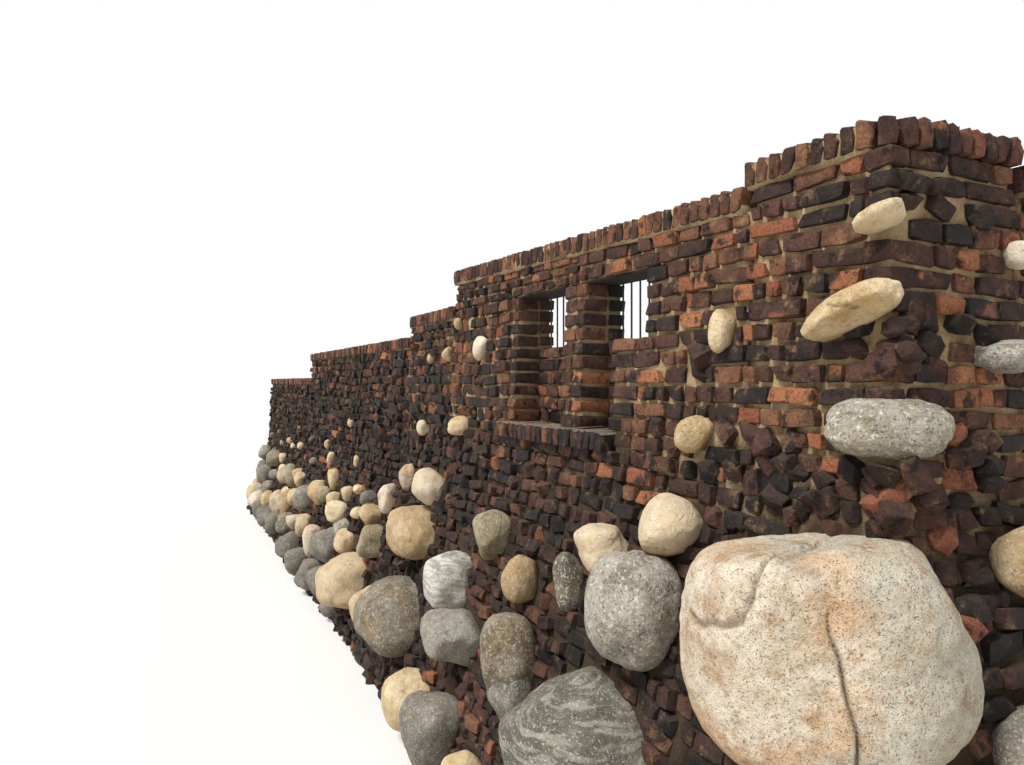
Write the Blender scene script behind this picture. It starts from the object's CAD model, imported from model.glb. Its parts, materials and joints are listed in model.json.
import json
import logging
from collections.abc import Callable, Iterable
from dataclasses import dataclass, field, replace
from enum import Enum
from itertools import product
from math import atan, atan2, copysign, cos, degrees, exp, hypot, inf, log, pi, radians, sin, sqrt
from random import Random

import bmesh
import bpy
from bpy.types import Camera, Light, Material, Mesh, Node, NodeSocket, NodeTree, Object
from mathutils import Euler, Matrix, Vector, noise

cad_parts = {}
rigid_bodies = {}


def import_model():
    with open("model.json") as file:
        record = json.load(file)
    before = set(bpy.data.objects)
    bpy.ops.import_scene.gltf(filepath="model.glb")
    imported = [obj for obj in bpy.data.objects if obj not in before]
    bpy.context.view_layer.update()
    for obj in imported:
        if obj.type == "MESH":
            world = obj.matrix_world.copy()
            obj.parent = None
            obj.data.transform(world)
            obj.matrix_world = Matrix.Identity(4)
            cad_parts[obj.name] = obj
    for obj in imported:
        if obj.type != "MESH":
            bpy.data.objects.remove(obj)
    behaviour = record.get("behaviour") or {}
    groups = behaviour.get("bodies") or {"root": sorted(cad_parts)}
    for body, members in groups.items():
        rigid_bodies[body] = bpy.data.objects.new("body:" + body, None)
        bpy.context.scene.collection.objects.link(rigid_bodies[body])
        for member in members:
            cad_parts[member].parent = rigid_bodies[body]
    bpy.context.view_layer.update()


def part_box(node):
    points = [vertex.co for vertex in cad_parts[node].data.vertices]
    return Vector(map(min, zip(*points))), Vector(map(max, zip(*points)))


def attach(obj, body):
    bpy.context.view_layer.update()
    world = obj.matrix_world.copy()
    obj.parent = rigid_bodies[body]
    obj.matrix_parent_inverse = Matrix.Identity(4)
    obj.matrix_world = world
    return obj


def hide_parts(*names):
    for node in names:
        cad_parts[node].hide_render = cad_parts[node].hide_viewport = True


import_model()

LOG = logging.getLogger("garden_wall")
BODY = "root"
UP = Vector((0, 0, 1))
FLOOR_GAP = 0.001
DULLNESS = 0.18

# Faces of the masonry, in metres, as the solids have them
OVERHANG = 0.022
BATTER = 0.056
RAKE = 0.28
NICHE_DEPTH = 0.16

# Brickwork
JOINT = 0.012
BED_JOINT = 0.016
RECESS = 0.021
BRICK_DEPTH = 0.1
EDGE_PITCH = 0.067
LOWER_COURSES = 27
NICHE_COURSES = 6
WINDOW_COURSES = 4
HEAD_COURSES = 3
STEP_COURSE = 0.078
END_LAP = 0.02
CORE_LAP = 0.01
RELIEF_SEED = 7

WHITE = (1.0, 1.0, 1.0, 1.0)

Pair = tuple[float, float]
Triple = tuple[float, float, float]
Colour = Triple
Value = "float | Signal"
Height = Callable[[float], float]
Level = float | Height
Line = Callable[[float, int], float]
Band = tuple[float, float, int]


class Signal:
    """A shader value whose operators add the Math nodes that they stand for."""

    def __init__(self, graph: "Graph", socket: NodeSocket) -> None:
        """Wrap an output socket of a graph."""
        self.graph = graph
        self.socket = socket

    def __add__(self, other: Value) -> "Signal":
        """Sum of two values."""
        return self.graph.math("ADD", self, other)

    def __sub__(self, other: Value) -> "Signal":
        """Difference of two values."""
        return self.graph.math("SUBTRACT", self, other)

    def __mul__(self, other: Value) -> "Signal":
        """Product of two values."""
        return self.graph.math("MULTIPLY", self, other)


class Nodes:
    """A node tree, with one method that adds any node."""

    def __init__(self, tree: NodeTree) -> None:
        """Wrap a tree."""
        self.tree = tree

    def node(self, kind: str, inputs: dict | None = None, **settings: object) -> Node:
        """Add a node with values, signals or sockets for its inputs, by name or index, and its settings."""
        made = self.tree.nodes.new(kind)
        for name, value in settings.items():
            setattr(made, name, value)
        for key, value in (inputs or {}).items():
            source = value.socket if isinstance(value, Signal) else value
            if isinstance(source, NodeSocket):
                self.tree.links.new(source, made.inputs[key])
            else:
                made.inputs[key].default_value = source
        return made


class Recipe(Nodes):
    """A Geometry Nodes tree with named inputs, one of which is the finish."""

    def __init__(self, name: str, inputs: dict[str, str]) -> None:
        """Start a tree of that name; the inputs are given as kinds by name."""
        super().__init__(bpy.data.node_groups.new(name, "GeometryNodeTree"))
        add = self.tree.interface.new_socket
        self.sockets = {
            key: add(key, in_out="INPUT", socket_type=f"NodeSocket{kind}").identifier
            for key, kind in inputs.items()
        }
        add("Geometry", in_out="OUTPUT", socket_type="NodeSocketGeometry")
        self.given = self.node("NodeGroupInput").outputs

    def close(self, geometry: NodeSocket) -> None:
        """Give the geometry its finish and hand it out."""
        finish = {"Geometry": geometry, "Material": self.given["Finish"]}
        dressed = self.node("GeometryNodeSetMaterial", finish)
        self.node("NodeGroupOutput", {0: dressed.outputs[0]})

    def cook(self, holder: Object, values: dict) -> Mesh:
        """The plain mesh that the tree makes of an object, which goes, from its inputs' values."""
        modifier = holder.modifiers.new("recipe", "NODES")
        modifier.node_group = self.tree
        for key, value in values.items():
            modifier[self.sockets[key]] = value
        graph = bpy.context.evaluated_depsgraph_get()
        mesh = bpy.data.meshes.new_from_object(
            holder.evaluated_get(graph), preserve_all_data_layers=True, depsgraph=graph
        )
        holder.modifiers.clear()
        bpy.data.objects.remove(holder)
        return mesh


class Graph(Nodes):
    """The node tree of one material."""

    def __init__(self, name: str) -> None:
        """Start an empty material of that name."""
        self.material = bpy.data.materials.new(name)
        self.material.use_nodes = True
        super().__init__(self.material.node_tree)
        self.tree.nodes.clear()
        self.here = self.add("TexCoord", key="Object")

    def add(self, kind: str, inputs: dict | None = None, key: str | int = 0, **settings: object) -> Signal:
        """Add a shader node and give one of its outputs."""
        return Signal(self, self.node(f"ShaderNode{kind}", inputs, **settings).outputs[key])

    def math(self, operation: str, *values: Value) -> Signal:
        """Add a Math node on one to three values."""
        return self.add("Math", dict(enumerate(values)), operation=operation)

    def vector(self, operation: str, *values: "Signal | tuple") -> Signal:
        """Add a Vector Math node."""
        return self.add("VectorMath", dict(enumerate(values)), operation=operation)

    def smooth(self, value: Value, low: Value, high: Value, to: Pair = (0.0, 1.0)) -> Signal:
        """Ease a value from one level to another between two limits."""
        values = dict(enumerate((value, low, high, *to)))
        return self.add("MapRange", values, interpolation_type="SMOOTHSTEP")

    def mix(self, share: Value, first: "Signal | Colour", second: "Signal | Colour") -> Signal:
        """Mix two colours by a share."""
        a, b = ((*c, 1.0) if isinstance(c, tuple) else c for c in (first, second))
        return self.add("Mix", {0: share, 6: a, 7: b}, 2, data_type="RGBA")

    def ramp(self, value: Signal, stops: list[tuple[float, Colour]]) -> Signal:
        """Turn a value into a colour by pairs of place and colour."""
        made = self.node("ShaderNodeValToRGB", {0: value})
        elements = made.color_ramp.elements
        while len(elements) < len(stops):
            elements.new(0.5)
        for element, (place, colour) in zip(elements, stops):
            element.position = place
            element.color = (*colour, 1.0)
        return Signal(self, made.outputs[0])

    def noise(
        self, scale: float, detail: float = 3.0, rough: float = 0.55, where: Signal | None = None
    ) -> Signal:
        """Cloudy noise from 0 to 1, by the point on the object or another place, in metres."""
        values = {"Vector": where or self.here, "Scale": scale, "Detail": detail, "Roughness": rough}
        return self.add("TexNoise", values)

    def attribute(self, name: str) -> Signal:
        """A value that the mesh carries."""
        return self.add("Attribute", key="Fac", attribute_name=name)

    def part(self, vector: Signal, axis: str) -> Signal:
        """One part of a vector, by the axis's letter."""
        return self.add("SeparateXYZ", {0: vector}, axis)

    def facing_up(self) -> Signal:
        """How much the surface faces the sky, from -1 to 1."""
        return self.part(self.add("NewGeometry", key="Normal"), "Z")

    def finish(self, colour: Signal, roughness: Value, height: Signal, depth: float) -> Material:
        """Close the material with a rough surface and its bumps, of a depth in metres."""
        bump = self.add("Bump", {"Strength": 0.9, "Distance": depth, "Height": height})
        surface = self.add("BsdfPrincipled", {
            "Base Color": colour, "Roughness": roughness, "Normal": bump, "Specular IOR Level": DULLNESS,
        })
        self.node("ShaderNodeOutputMaterial", {"Surface": surface})
        return self.material


@dataclass(frozen=True)
class BrickFinish:
    """Overburnt brick: charcoal, plum and brown, with fired red and orange flashes."""

    charcoal: Colour = (0.014, 0.012, 0.012)
    slate: Colour = (0.04, 0.029, 0.025)
    plum: Colour = (0.08, 0.041, 0.035)
    brown: Colour = (0.142, 0.07, 0.047)
    russet: Colour = (0.255, 0.118, 0.066)
    red: Colour = (0.27, 0.09, 0.054)
    orange: Colour = (0.45, 0.19, 0.088)
    dust: Colour = (0.3, 0.245, 0.2)
    lime: Colour = (0.42, 0.285, 0.145)

    def build(self) -> Material:
        """Make the material, which reads each brick's own tint, kiln, shade and dust."""
        g = Graph("clinker_brick")
        tint, kiln, shade, dust = (g.attribute(name) for name in ("tint", "kiln", "shade", "dust"))
        clouds = g.noise(13, 3)
        colours = (self.charcoal, self.slate, self.plum, self.brown, self.russet)
        body = g.ramp(tint + (clouds - 0.5) * 0.95, list(zip((0.0, 0.25, 0.5, 0.8, 1.0), colours)))
        ember = g.mix(shade, self.red, self.orange)
        edge = kiln * -0.62 + 0.86
        flash = g.smooth(g.noise(9, 4), edge, edge + 0.13)
        colour = g.mix(flash, body, ember)
        burnt = g.smooth(g.noise(15, 5, 0.65), 0.54, 0.64, (0.0, 0.85))
        colour = g.mix(burnt, colour, self.charcoal)
        elsewhere = g.vector("ADD", g.here, (3.0, 5.0, 1.0))
        smear = g.smooth(g.noise(12, 6, 0.72, elsewhere), 0.55, 0.7, (0.0, 0.45))
        colour = g.mix(smear, colour, self.lime)
        fine = g.noise(85, 5, 0.68)
        colour = g.mix(g.smooth(fine, 0.3, 0.62, (0.5, 0.0)), colour, self.charcoal)
        dusty = g.smooth(g.facing_up(), 0.35, 0.95) * g.smooth(fine, 0.3, 0.62, (0.3, 0.9)) * dust
        colour = g.mix(dusty, colour, self.dust)
        salt = g.smooth(g.noise(150, 2), 0.7, 0.75, (0.0, 0.55))
        colour = g.mix(salt, colour, self.dust)
        pits = g.smooth(g.noise(95, 1), 0.26, 0.36)
        height = fine * 0.55 + g.noise(300, 3) * 0.22 + g.noise(30, 3) * 0.8 + pits * 0.35
        return g.finish(colour, g.smooth(tint, 0.0, 0.5, (0.45, 0.86)), height, 0.016)


@dataclass(frozen=True)
class MortarFinish:
    """Sandy lime mortar, darker and earthier low down and far along the wall."""

    light: Colour = (0.74, 0.56, 0.33)
    mid: Colour = (0.46, 0.325, 0.18)
    dark: Colour = (0.14, 0.09, 0.05)
    soil: Colour = (0.04, 0.028, 0.02)
    clean_height: float = 2.3
    soiled_height: float = 1.75
    clean_reach: float = 3.6
    soiled_reach: float = -1.0

    def build(self) -> Material:
        """Make the material."""
        g = Graph("mortar")
        clouds = g.noise(7, 5, 0.6)
        sand = g.noise(160, 4, 0.7)
        colour = g.ramp(clouds, [(0.3, self.dark), (0.46, self.mid), (0.66, self.light)])
        colour = g.mix(g.smooth(sand, 0.3, 0.7, (0.5, 0.0)), colour, self.dark)
        height = g.part(g.here, "Z") + (clouds - 0.5) * 0.8
        low = g.smooth(height, self.soiled_height, self.clean_height, (0.93, 0.0))
        far = g.smooth(g.part(g.here, "X"), self.soiled_reach, self.clean_reach, (0.85, 0.0))
        colour = g.mix(g.math("MAXIMUM", low, far), colour, self.soil)
        relief = sand * 0.6 + g.noise(38, 5, 0.65) * 0.9
        return g.finish(colour, 0.93, relief, 0.018)


@dataclass(frozen=True)
class StoneFinish:
    """A field stone: two body colours, stains, a blush, dark and light grains, and bands if it has them."""

    name: str
    slot: str
    low: Colour
    high: Colour
    stain: Colour
    blush: Colour
    grain: Colour = (0.1, 0.085, 0.075)
    grain_share: float = 0.35
    grain_scale: float = 150.0
    stain_share: float = 0.5
    blush_share: float = 0.35
    band_share: float = 0.0
    cool_share: float = 0.0
    cool_from: float = 1.58
    pale_from: float = 0.58
    pale_share: float = 0.4
    mottle_share: float = 0.35
    depth: float = 0.011
    roughness: float = 0.88
    pale: Colour = (0.8, 0.76, 0.68)
    cool: Colour = (0.52, 0.53, 0.45)
    groove: Colour = (0.085, 0.05, 0.03)

    def build(self) -> Material:
        """Make the material, which reads each stone's own shade and its grooves."""
        g = Graph(self.name)
        shade, crease = g.attribute("shade"), g.attribute("crease")
        clouds = g.noise(5, 6, 0.66) + (shade - 0.5) * 0.25
        body = g.mix(g.smooth(clouds, 0.36, 0.62), self.low, self.high)
        blush = g.smooth(g.noise(4.3, 5, 0.6), 0.48, 0.62, (0.0, self.blush_share))
        body = g.mix(blush, body, self.blush)
        if self.cool_share:
            across = g.part(g.here, "X") * 0.43 + g.part(g.here, "Y") * 0.9 + (g.noise(3.2, 4) - 0.5) * 0.9
            cool = g.smooth(across, self.cool_from, self.cool_from + 0.16, (0.0, self.cool_share))
            body = g.mix(cool, body, self.cool)
        blotch = g.smooth(g.noise(9, 7, 0.74), 0.5, 0.68, (0.0, self.stain_share))
        colour = g.mix(blotch, body, self.stain)
        if self.band_share:
            bend = g.add("TexNoise", {"Vector": g.here, "Scale": 2.6}, 1)
            bent = g.vector("ADD", g.vector("MULTIPLY", bend, (0.16, 0.16, 0.16)), g.here)
            turned = {"Vector": bent, "Rotation": (0.25, 0.45, 0.0), "Scale": (5.0, 5.0, 46.0)}
            layers = g.noise(1.0, 4, 0.6, g.add("Mapping", turned))
            colour = g.mix(g.smooth(layers, 0.48, 0.6, (0.0, self.band_share)), colour, self.grain)
        mottle = g.noise(30, 7, 0.78)
        colour = g.mix(g.smooth(mottle, 0.3, 0.5, (self.mottle_share, 0.0)), colour, self.stain)
        colour = g.mix(g.smooth(mottle, 0.52, 0.7, (0.0, self.mottle_share)), colour, self.pale)
        dark = g.smooth(g.noise(self.grain_scale, 1), 0.58, 0.68, (0.0, self.grain_share))
        colour = g.mix(dark, colour, self.grain)
        pale_grains = g.noise(self.grain_scale * 0.62, 2)
        light = g.smooth(pale_grains, self.pale_from, self.pale_from + 0.1, (0.0, self.pale_share))
        colour = g.mix(light, colour, self.pale)
        specks = g.smooth(g.noise(80, 3, 0.55), 0.68, 0.72, (0.0, 0.75))
        colour = g.mix(specks, colour, self.groove)
        under = g.smooth(g.facing_up(), -0.9, 0.1, (0.4, 0.0))
        colour = g.mix(under, colour, self.stain)
        colour = g.mix(crease * 0.85, colour, self.groove)
        pits = g.smooth(g.noise(48, 2), 0.28, 0.42)
        height = g.noise(60, 5, 0.65) * 0.8 + g.noise(13, 4) * 1.1 + g.noise(260, 2) * 0.25
        return g.finish(colour, self.roughness, height + pits * 0.4, self.depth)


@dataclass(frozen=True)
class IronFinish:
    """Old iron, dull with a little rust."""

    name: str
    paint: Colour
    rust: Colour
    roughness: float

    def build(self) -> Material:
        """Make the material."""
        g = Graph(self.name)
        spots = g.noise(45, 4)
        colour = g.mix(g.smooth(spots, 0.5, 0.68), self.paint, self.rust)
        return g.finish(colour, self.roughness, spots, 0.0015)


class StoneKind(Enum):
    """The kinds of stone in the wall, each with its look."""

    GRANITE = StoneFinish(
        "pale_granite", "pale_granite", (0.56, 0.44, 0.305), (0.82, 0.735, 0.6), (0.38, 0.22, 0.105),
        (0.7, 0.43, 0.235), stain_share=0.7, blush_share=0.68, cool_share=0.55, grain_share=0.7,
        grain_scale=170, mottle_share=0.55, depth=0.018,
    )
    IVORY = StoneFinish(
        "ivory_stone", "pale_granite", (0.62, 0.51, 0.35), (0.8, 0.735, 0.605), (0.44, 0.27, 0.12),
        (0.76, 0.62, 0.42), grain_share=0.2, stain_share=0.35, mottle_share=0.25,
    )
    CREAM = StoneFinish(
        "cream_stone", "pale_granite", (0.54, 0.39, 0.205), (0.77, 0.65, 0.44), (0.34, 0.2, 0.08),
        (0.66, 0.45, 0.21), grain_share=0.25, stain_share=0.7, mottle_share=0.45,
    )
    SPECKLED = StoneFinish(
        "speckled_granite", "grey_granite", (0.15, 0.137, 0.105), (0.42, 0.4, 0.345), (0.105, 0.08, 0.05),
        (0.35, 0.29, 0.18), grain=(0.035, 0.032, 0.03), grain_share=0.6, grain_scale=110, pale_share=0.6,
        stain_share=0.65, blush_share=0.5, pale_from=0.57, mottle_share=0.6,
    )
    GREY = StoneFinish(
        "grey_stone", "grey_granite", (0.16, 0.153, 0.132), (0.31, 0.297, 0.26), (0.1, 0.076, 0.05),
        (0.28, 0.235, 0.165), grain_share=0.5, grain_scale=170, mottle_share=0.45,
    )
    MOTTLED = StoneFinish(
        "mottled_stone", "grey_granite", (0.125, 0.102, 0.072), (0.275, 0.245, 0.19), (0.08, 0.058, 0.038),
        (0.3, 0.215, 0.125), grain_share=0.6, grain_scale=110, blush_share=0.6, pale_share=0.35,
        mottle_share=0.6,
    )
    BANDED = StoneFinish(
        "banded_stone", "grey_granite", (0.112, 0.11, 0.092), (0.2, 0.196, 0.166), (0.085, 0.07, 0.046),
        (0.2, 0.17, 0.112), grain=(0.36, 0.345, 0.29), grain_share=0.3, band_share=0.75, mottle_share=0.4,
    )
    TAN = StoneFinish(
        "tan_stone", "tan_fieldstone", (0.42, 0.3, 0.16), (0.63, 0.5, 0.325), (0.24, 0.145, 0.07),
        (0.56, 0.36, 0.2), grain_share=0.2, stain_share=0.55,
    )
    OLIVE = StoneFinish(
        "olive_stone", "tan_fieldstone", (0.235, 0.195, 0.125), (0.4, 0.345, 0.23), (0.11, 0.082, 0.045),
        (0.34, 0.24, 0.12), grain_share=0.35, stain_share=0.6, mottle_share=0.45,
    )
    STRIPED = StoneFinish(
        "striped_stone", "grey_granite", (0.42, 0.415, 0.365), (0.64, 0.625, 0.56), (0.15, 0.14, 0.105),
        (0.4, 0.38, 0.28), grain=(0.12, 0.12, 0.105), grain_share=0.3, band_share=0.5,
    )


class Palette:
    """The finished materials of the wall."""

    def __init__(self) -> None:
        """Make every material once."""
        self.stones = {kind: kind.value.build() for kind in StoneKind}
        self.brick = BrickFinish().build()
        self.mortar = MortarFinish().build()
        self.iron = IronFinish("old_iron", (0.05, 0.06, 0.052), (0.12, 0.06, 0.03), 0.6).build()
        rusty = IronFinish("rusty_lintel", (0.016, 0.014, 0.013), (0.055, 0.028, 0.017), 0.97)
        self.lintel = rusty.build()


def eased(value: float, low: float, high: float) -> float:
    """Ease from 0 to 1 between two limits."""
    share = min(max((value - low) / (high - low), 0.0), 1.0)
    return share * share * (3 - 2 * share)


def as_height(level: Level) -> Height:
    """The height at any distance along a face, also of one that is level."""
    return level if callable(level) else lambda distance: level


def random_way(dice: Random) -> Vector:
    """A random direction."""
    return Vector([dice.gauss(0, 1) for _ in range(3)]).normalized()


def lattice_box(xs: list[float], ys: list[float], zs: list[float]) -> tuple[list, list]:
    """The surface of a box, cut along the given stations of each axis.

    Args:
        xs: Stations along X, from low to high.
        ys: Stations along Y.
        zs: Stations along Z.

    Returns:
        The points and the four-sided faces, which point outwards.
    """
    index: dict[tuple, int] = {}
    points: list[tuple] = []

    def at(i: int, j: int, k: int) -> int:
        """Number of the point at three stations."""
        if (i, j, k) not in index:
            index[i, j, k] = len(points)
            points.append((xs[i], ys[j], zs[k]))
        return index[i, j, k]

    counts = [len(stations) - 1 for stations in (xs, ys, zs)]
    one_way, other_way = ((0, 0), (1, 0), (1, 1), (0, 1)), ((0, 0), (0, 1), (1, 1), (1, 0))
    faces = []
    for u, v, w, low, high in (
        (0, 2, 1, one_way, other_way), (1, 2, 0, other_way, one_way), (0, 1, 2, other_way, one_way),
    ):
        for p, q in product(range(counts[u]), range(counts[v])):
            for level, ring in ((0, low), (counts[w], high)):
                places = ({u: p + du, v: q + dv, w: level} for du, dv in ring)
                faces.append(tuple(at(place[0], place[1], place[2]) for place in places))
    return points, faces


def even(count: int) -> list[float]:
    """Evenly spaced stations from 0 to 1."""
    return [i / count for i in range(count + 1)]


def placed(name: str, data: Mesh | Light | Camera) -> Object:
    """A new object in the scene."""
    made = bpy.data.objects.new(name, data)
    bpy.context.scene.collection.objects.link(made)
    return made


def piece_from(name: str, points: Iterable, faces: Iterable, material: Material) -> Object:
    """Make an object of that name in the scene from points, faces and a finish."""
    mesh = bpy.data.meshes.new(name)
    mesh.from_pydata([tuple(p) for p in points], [], [tuple(f) for f in faces])
    mesh.materials.append(material)
    return placed(name, mesh)


def stand_on_floor(mesh: Mesh) -> None:
    """Lift every point that would dip under the floor."""
    places = [0.0] * (3 * len(mesh.vertices))
    mesh.vertices.foreach_get("co", places)
    places[2::3] = [max(height, FLOOR_GAP) for height in places[2::3]]
    mesh.vertices.foreach_set("co", places)


def show(mesh: Mesh, name: str) -> Object:
    """Put a mesh into the scene as an object of its own."""
    mesh.name = name
    stand_on_floor(mesh)
    return placed(name, mesh)


def hand_over(piece: Object, slot: str, nodes: Iterable[str] = ()) -> None:
    """Tell the frame what a finished piece rides on, its slot and the solids that it stands for."""
    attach(piece, BODY)
    if nodes:
        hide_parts(*nodes)
    triangles = sum(len(p.vertices) - 2 for p in piece.data.polygons)
    LOG.info("%s: %d triangles, slot %s", piece.name, triangles, slot)


@dataclass(frozen=True)
class Bay:
    """One bay of the front: where it runs and how high its masonry reaches."""

    name: str
    start: float
    end: float
    near_top: float
    far_top: float
    base_top: float

    def top(self, along: float) -> float:
        """Height of the masonry under the coping at a distance from the corner."""
        share = min(max((along - self.start) / (self.end - self.start), 0.0), 1.0)
        return self.near_top + (self.far_top - self.near_top) * share


class Wall:
    """The wall's places, read from the solids. Distances along the front count from the corner."""

    def __init__(self) -> None:
        """Read the solids' boxes."""
        cap_low, cap_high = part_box("corner_pier_coping")
        self.corner = Vector((cap_high.x - OVERHANG, cap_low.y + OVERHANG, 0))
        self.pier_width = self.corner.x - cap_low.x - OVERHANG
        self.pier_depth = cap_high.y - OVERHANG - self.corner.y
        self.face_top = cap_low.z
        self.coping_height = cap_high.z - cap_low.z
        near_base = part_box("corner_pier_base")[1].z
        low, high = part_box("window_bay_coping")
        self.pier = Bay("corner_pier", 0.0, self.pier_width, self.face_top, self.face_top, near_base)
        self.window_bay = self._bay("window_bay", low.z, high.z - self.coping_height)
        plain = [self._bay(n, *[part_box(f"{n}_coping")[0].z] * 2) for n in ("step_bay", "long_bay", "end_bay")]
        self.step_bay, self.long_bay, self.end_bay = plain
        self.bays = [self.pier, self.window_bay, *plain]
        self.return_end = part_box("return_wall")[1].y - self.corner.y
        self.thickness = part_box("long_bay_wall")[1].y - self.corner.y
        self.return_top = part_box("return_coping")[0].z
        self.sill_foot, self.sill_top = (end.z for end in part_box("window_sill"))
        self.window_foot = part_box("left_niche_panel")[1].z
        self.window_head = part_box("window_head_wall")[0].z
        self.sill = self.span("window_sill")
        self.cheek = self.span("right_niche_cheek")
        self.window_pier = self.span("window_pier")
        self.left_niche = self.span("left_niche_panel")
        self.lower_band: Band = (0.0, self.sill_top, LOWER_COURSES)
        self.niche_band: Band = (self.sill_top, self.window_foot, NICHE_COURSES)
        self.window_band: Band = (self.window_foot, self.window_head, WINDOW_COURSES)

    def span(self, node: str) -> Pair:
        """Where a node of the front starts and ends along it."""
        low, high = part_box(node)
        return self.corner.x - high.x, self.corner.x - low.x

    def _bay(self, name: str, near_top: float, far_top: float) -> Bay:
        """One bay, with its place read from its base."""
        start, end = self.span(f"{name}_base")
        return Bay(name, start, end, near_top, far_top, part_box(f"{name}_base")[1].z)

    def base_top(self, along: float) -> float:
        """Height of the boulder base's top, eased from bay to bay."""
        height, reach = self.pier.base_top, 0.7
        for before, after in zip(self.bays, self.bays[1:]):
            share = eased(along, after.start - reach, after.start + reach)
            height += (after.base_top - before.base_top) * share
        return height

    def lean(self, along: float, height: float) -> float:
        """How far out the front stands at a place on it, or the return at a negative distance."""
        foot = self.base_top(along)
        return BATTER * (self.face_top - max(height, foot)) + RAKE * max(foot - height, 0.0)

    def wildness(self, along: float, height: float) -> float:
        """How rough and crooked the bricks are: calm by the windows, wild low down and far along."""
        far = 0.58 * eased(along, 2.2, 5.0)
        low = 0.52 * eased(-height, -2.4, -1.75)
        return min(0.12 + far + low, 0.95)

    def wave(self, along: float, height: float, top: float) -> float:
        """How far a course strays up or down there."""
        size = 0.018 + 0.03 * self.wildness(along, height)
        calm = eased(height, 0.0, 0.3) * eased(top - height, 0.0, 0.3)
        near_windows = eased(along, 1.0, 1.3) * (1 - eased(along, 2.9, 3.2)) * eased(height, 1.8, 2.05)
        return size * calm * (1 - near_windows) * noise.noise(Vector((along * 0.9, height * 1.4, 7.7)))


@dataclass(frozen=True)
class Face:
    """A brick face: where its points lie and which way it looks."""

    origin: Vector
    along: Vector
    sense: int
    lean: Callable[[float, float], float]
    shift: float = 0.0
    mirrored: bool = False
    reach: Height = lambda height: 0.0

    @property
    def outward(self) -> Vector:
        """The level direction in which the face looks."""
        return -UP.cross(self.along)

    @property
    def heading(self) -> float:
        """The angle that turns a brick's own length to the face's."""
        return atan2(self.along.y, self.along.x)

    def point(self, distance: float, height: float, proud: float = 0.0) -> Vector:
        """A point on the face, or in front of it."""
        flat = self.origin + self.along * (self.sense * distance)
        return flat + self.outward * (self.lean(distance, height) + proud) + UP * height

    def place(self, distance: float) -> float:
        """The distance along the front that stands for this one in the courses' waves."""
        return self.shift + (-distance if self.mirrored else distance)


class Faces:
    """Every face of the wall that bricks are laid on."""

    def __init__(self, wall: Wall) -> None:
        """Set the faces of a wall out."""
        corner = wall.corner
        x, y = Vector((1, 0, 0)), Vector((0, 1, 0))
        flat = lambda distance, height: 0.0
        deep = lambda distance, height: BATTER * (wall.face_top - wall.window_foot) - NICHE_DEPTH
        self.front = Face(corner, x, -1, wall.lean)
        self.side = Face(corner, y, 1, lambda distance, height: wall.lean(-distance, height), mirrored=True)
        self.niche = Face(corner, x, -1, deep)
        self.garden = Face(corner + y * wall.thickness, -x, 1, flat, shift=30)
        self.garden_side = Face(corner - x * wall.thickness, -y, -1, flat, shift=50)
        self.pier_back = Face(corner + y * wall.pier_depth, -x, 1, flat, shift=60)
        self.pier_side = Face(corner - x * wall.pier_width, -y, -1, flat, shift=70)
        foot = lambda height: wall.lean(-wall.return_end, height)
        self.return_end = Face(corner + y * wall.return_end, -x, 1, flat, shift=80, reach=foot)

    @staticmethod
    def looking_down_wall(wall: Wall, along: float) -> Face:
        """A face across the wall that looks away from the corner."""
        place = wall.corner - Vector((along, 0, 0))
        return Face(place, Vector((0, -1, 0)), -1, lambda distance, height: 0.0, shift=90)


@dataclass(frozen=True)
class Stone:
    """A stone: its middle, half sizes in its own axes, how it is turned, its kind and its form."""

    name: str
    kind: StoneKind
    middle: Vector
    half: Vector
    heading: float = 0.0
    tilt: float = 0.0
    turn: float = 0.0
    detail: int = 4
    squareness: float = 2.5
    facets: int = 7
    node: str = ""
    flats: tuple[tuple[float, float, float, float], ...] = ()
    softness: float = 0.06
    plan_squareness: float = 0.0
    swell: float = 0.085
    taper: float = 0.0

    def matrix(self) -> Matrix:
        """Turn from the stone's own axes to the frame's."""
        tip = Euler((0, radians(self.tilt), radians(self.turn)))
        return Matrix.Rotation(self.heading, 3, "Z") @ tip.to_matrix()

    def footprint(self, face: Face, height: float) -> Pair | None:
        """Where the stretch of a face that the stone covers at a height starts and ends, or None."""
        offset = self.middle - face.origin
        centre = offset.dot(face.along) * face.sense
        away = offset.dot(face.outward) - face.lean(centre, self.middle.z)
        with_face = abs(cos(face.heading - self.heading)) > 0.7
        c, s = cos(radians(self.turn)), sin(radians(self.turn))
        wide = hypot(self.half.x * c, self.half.y * s)
        deep = hypot(self.half.x * s, self.half.y * c)
        wide, deep = (wide, deep) if with_face else (deep, wide)
        share = 1 - (away / deep) ** 2
        if share <= 0.05:
            return None
        share = sqrt(share)
        a, b = wide * share, self.half.z * share
        slope = radians(self.tilt) * -face.sense if with_face else 0.0
        c, s, rise = cos(slope), sin(slope), height - self.middle.z
        p = (c / a) ** 2 + (s / b) ** 2
        q = 2 * rise * s * c * (1 / a**2 - 1 / b**2)
        r = rise**2 * ((s / a) ** 2 + (c / b) ** 2) - 1
        root = q * q - 4 * p * r
        if root <= 0:
            return None
        root = sqrt(root)
        return centre + (-q - root) / (2 * p), centre + (-q + root) / (2 * p)


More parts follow.
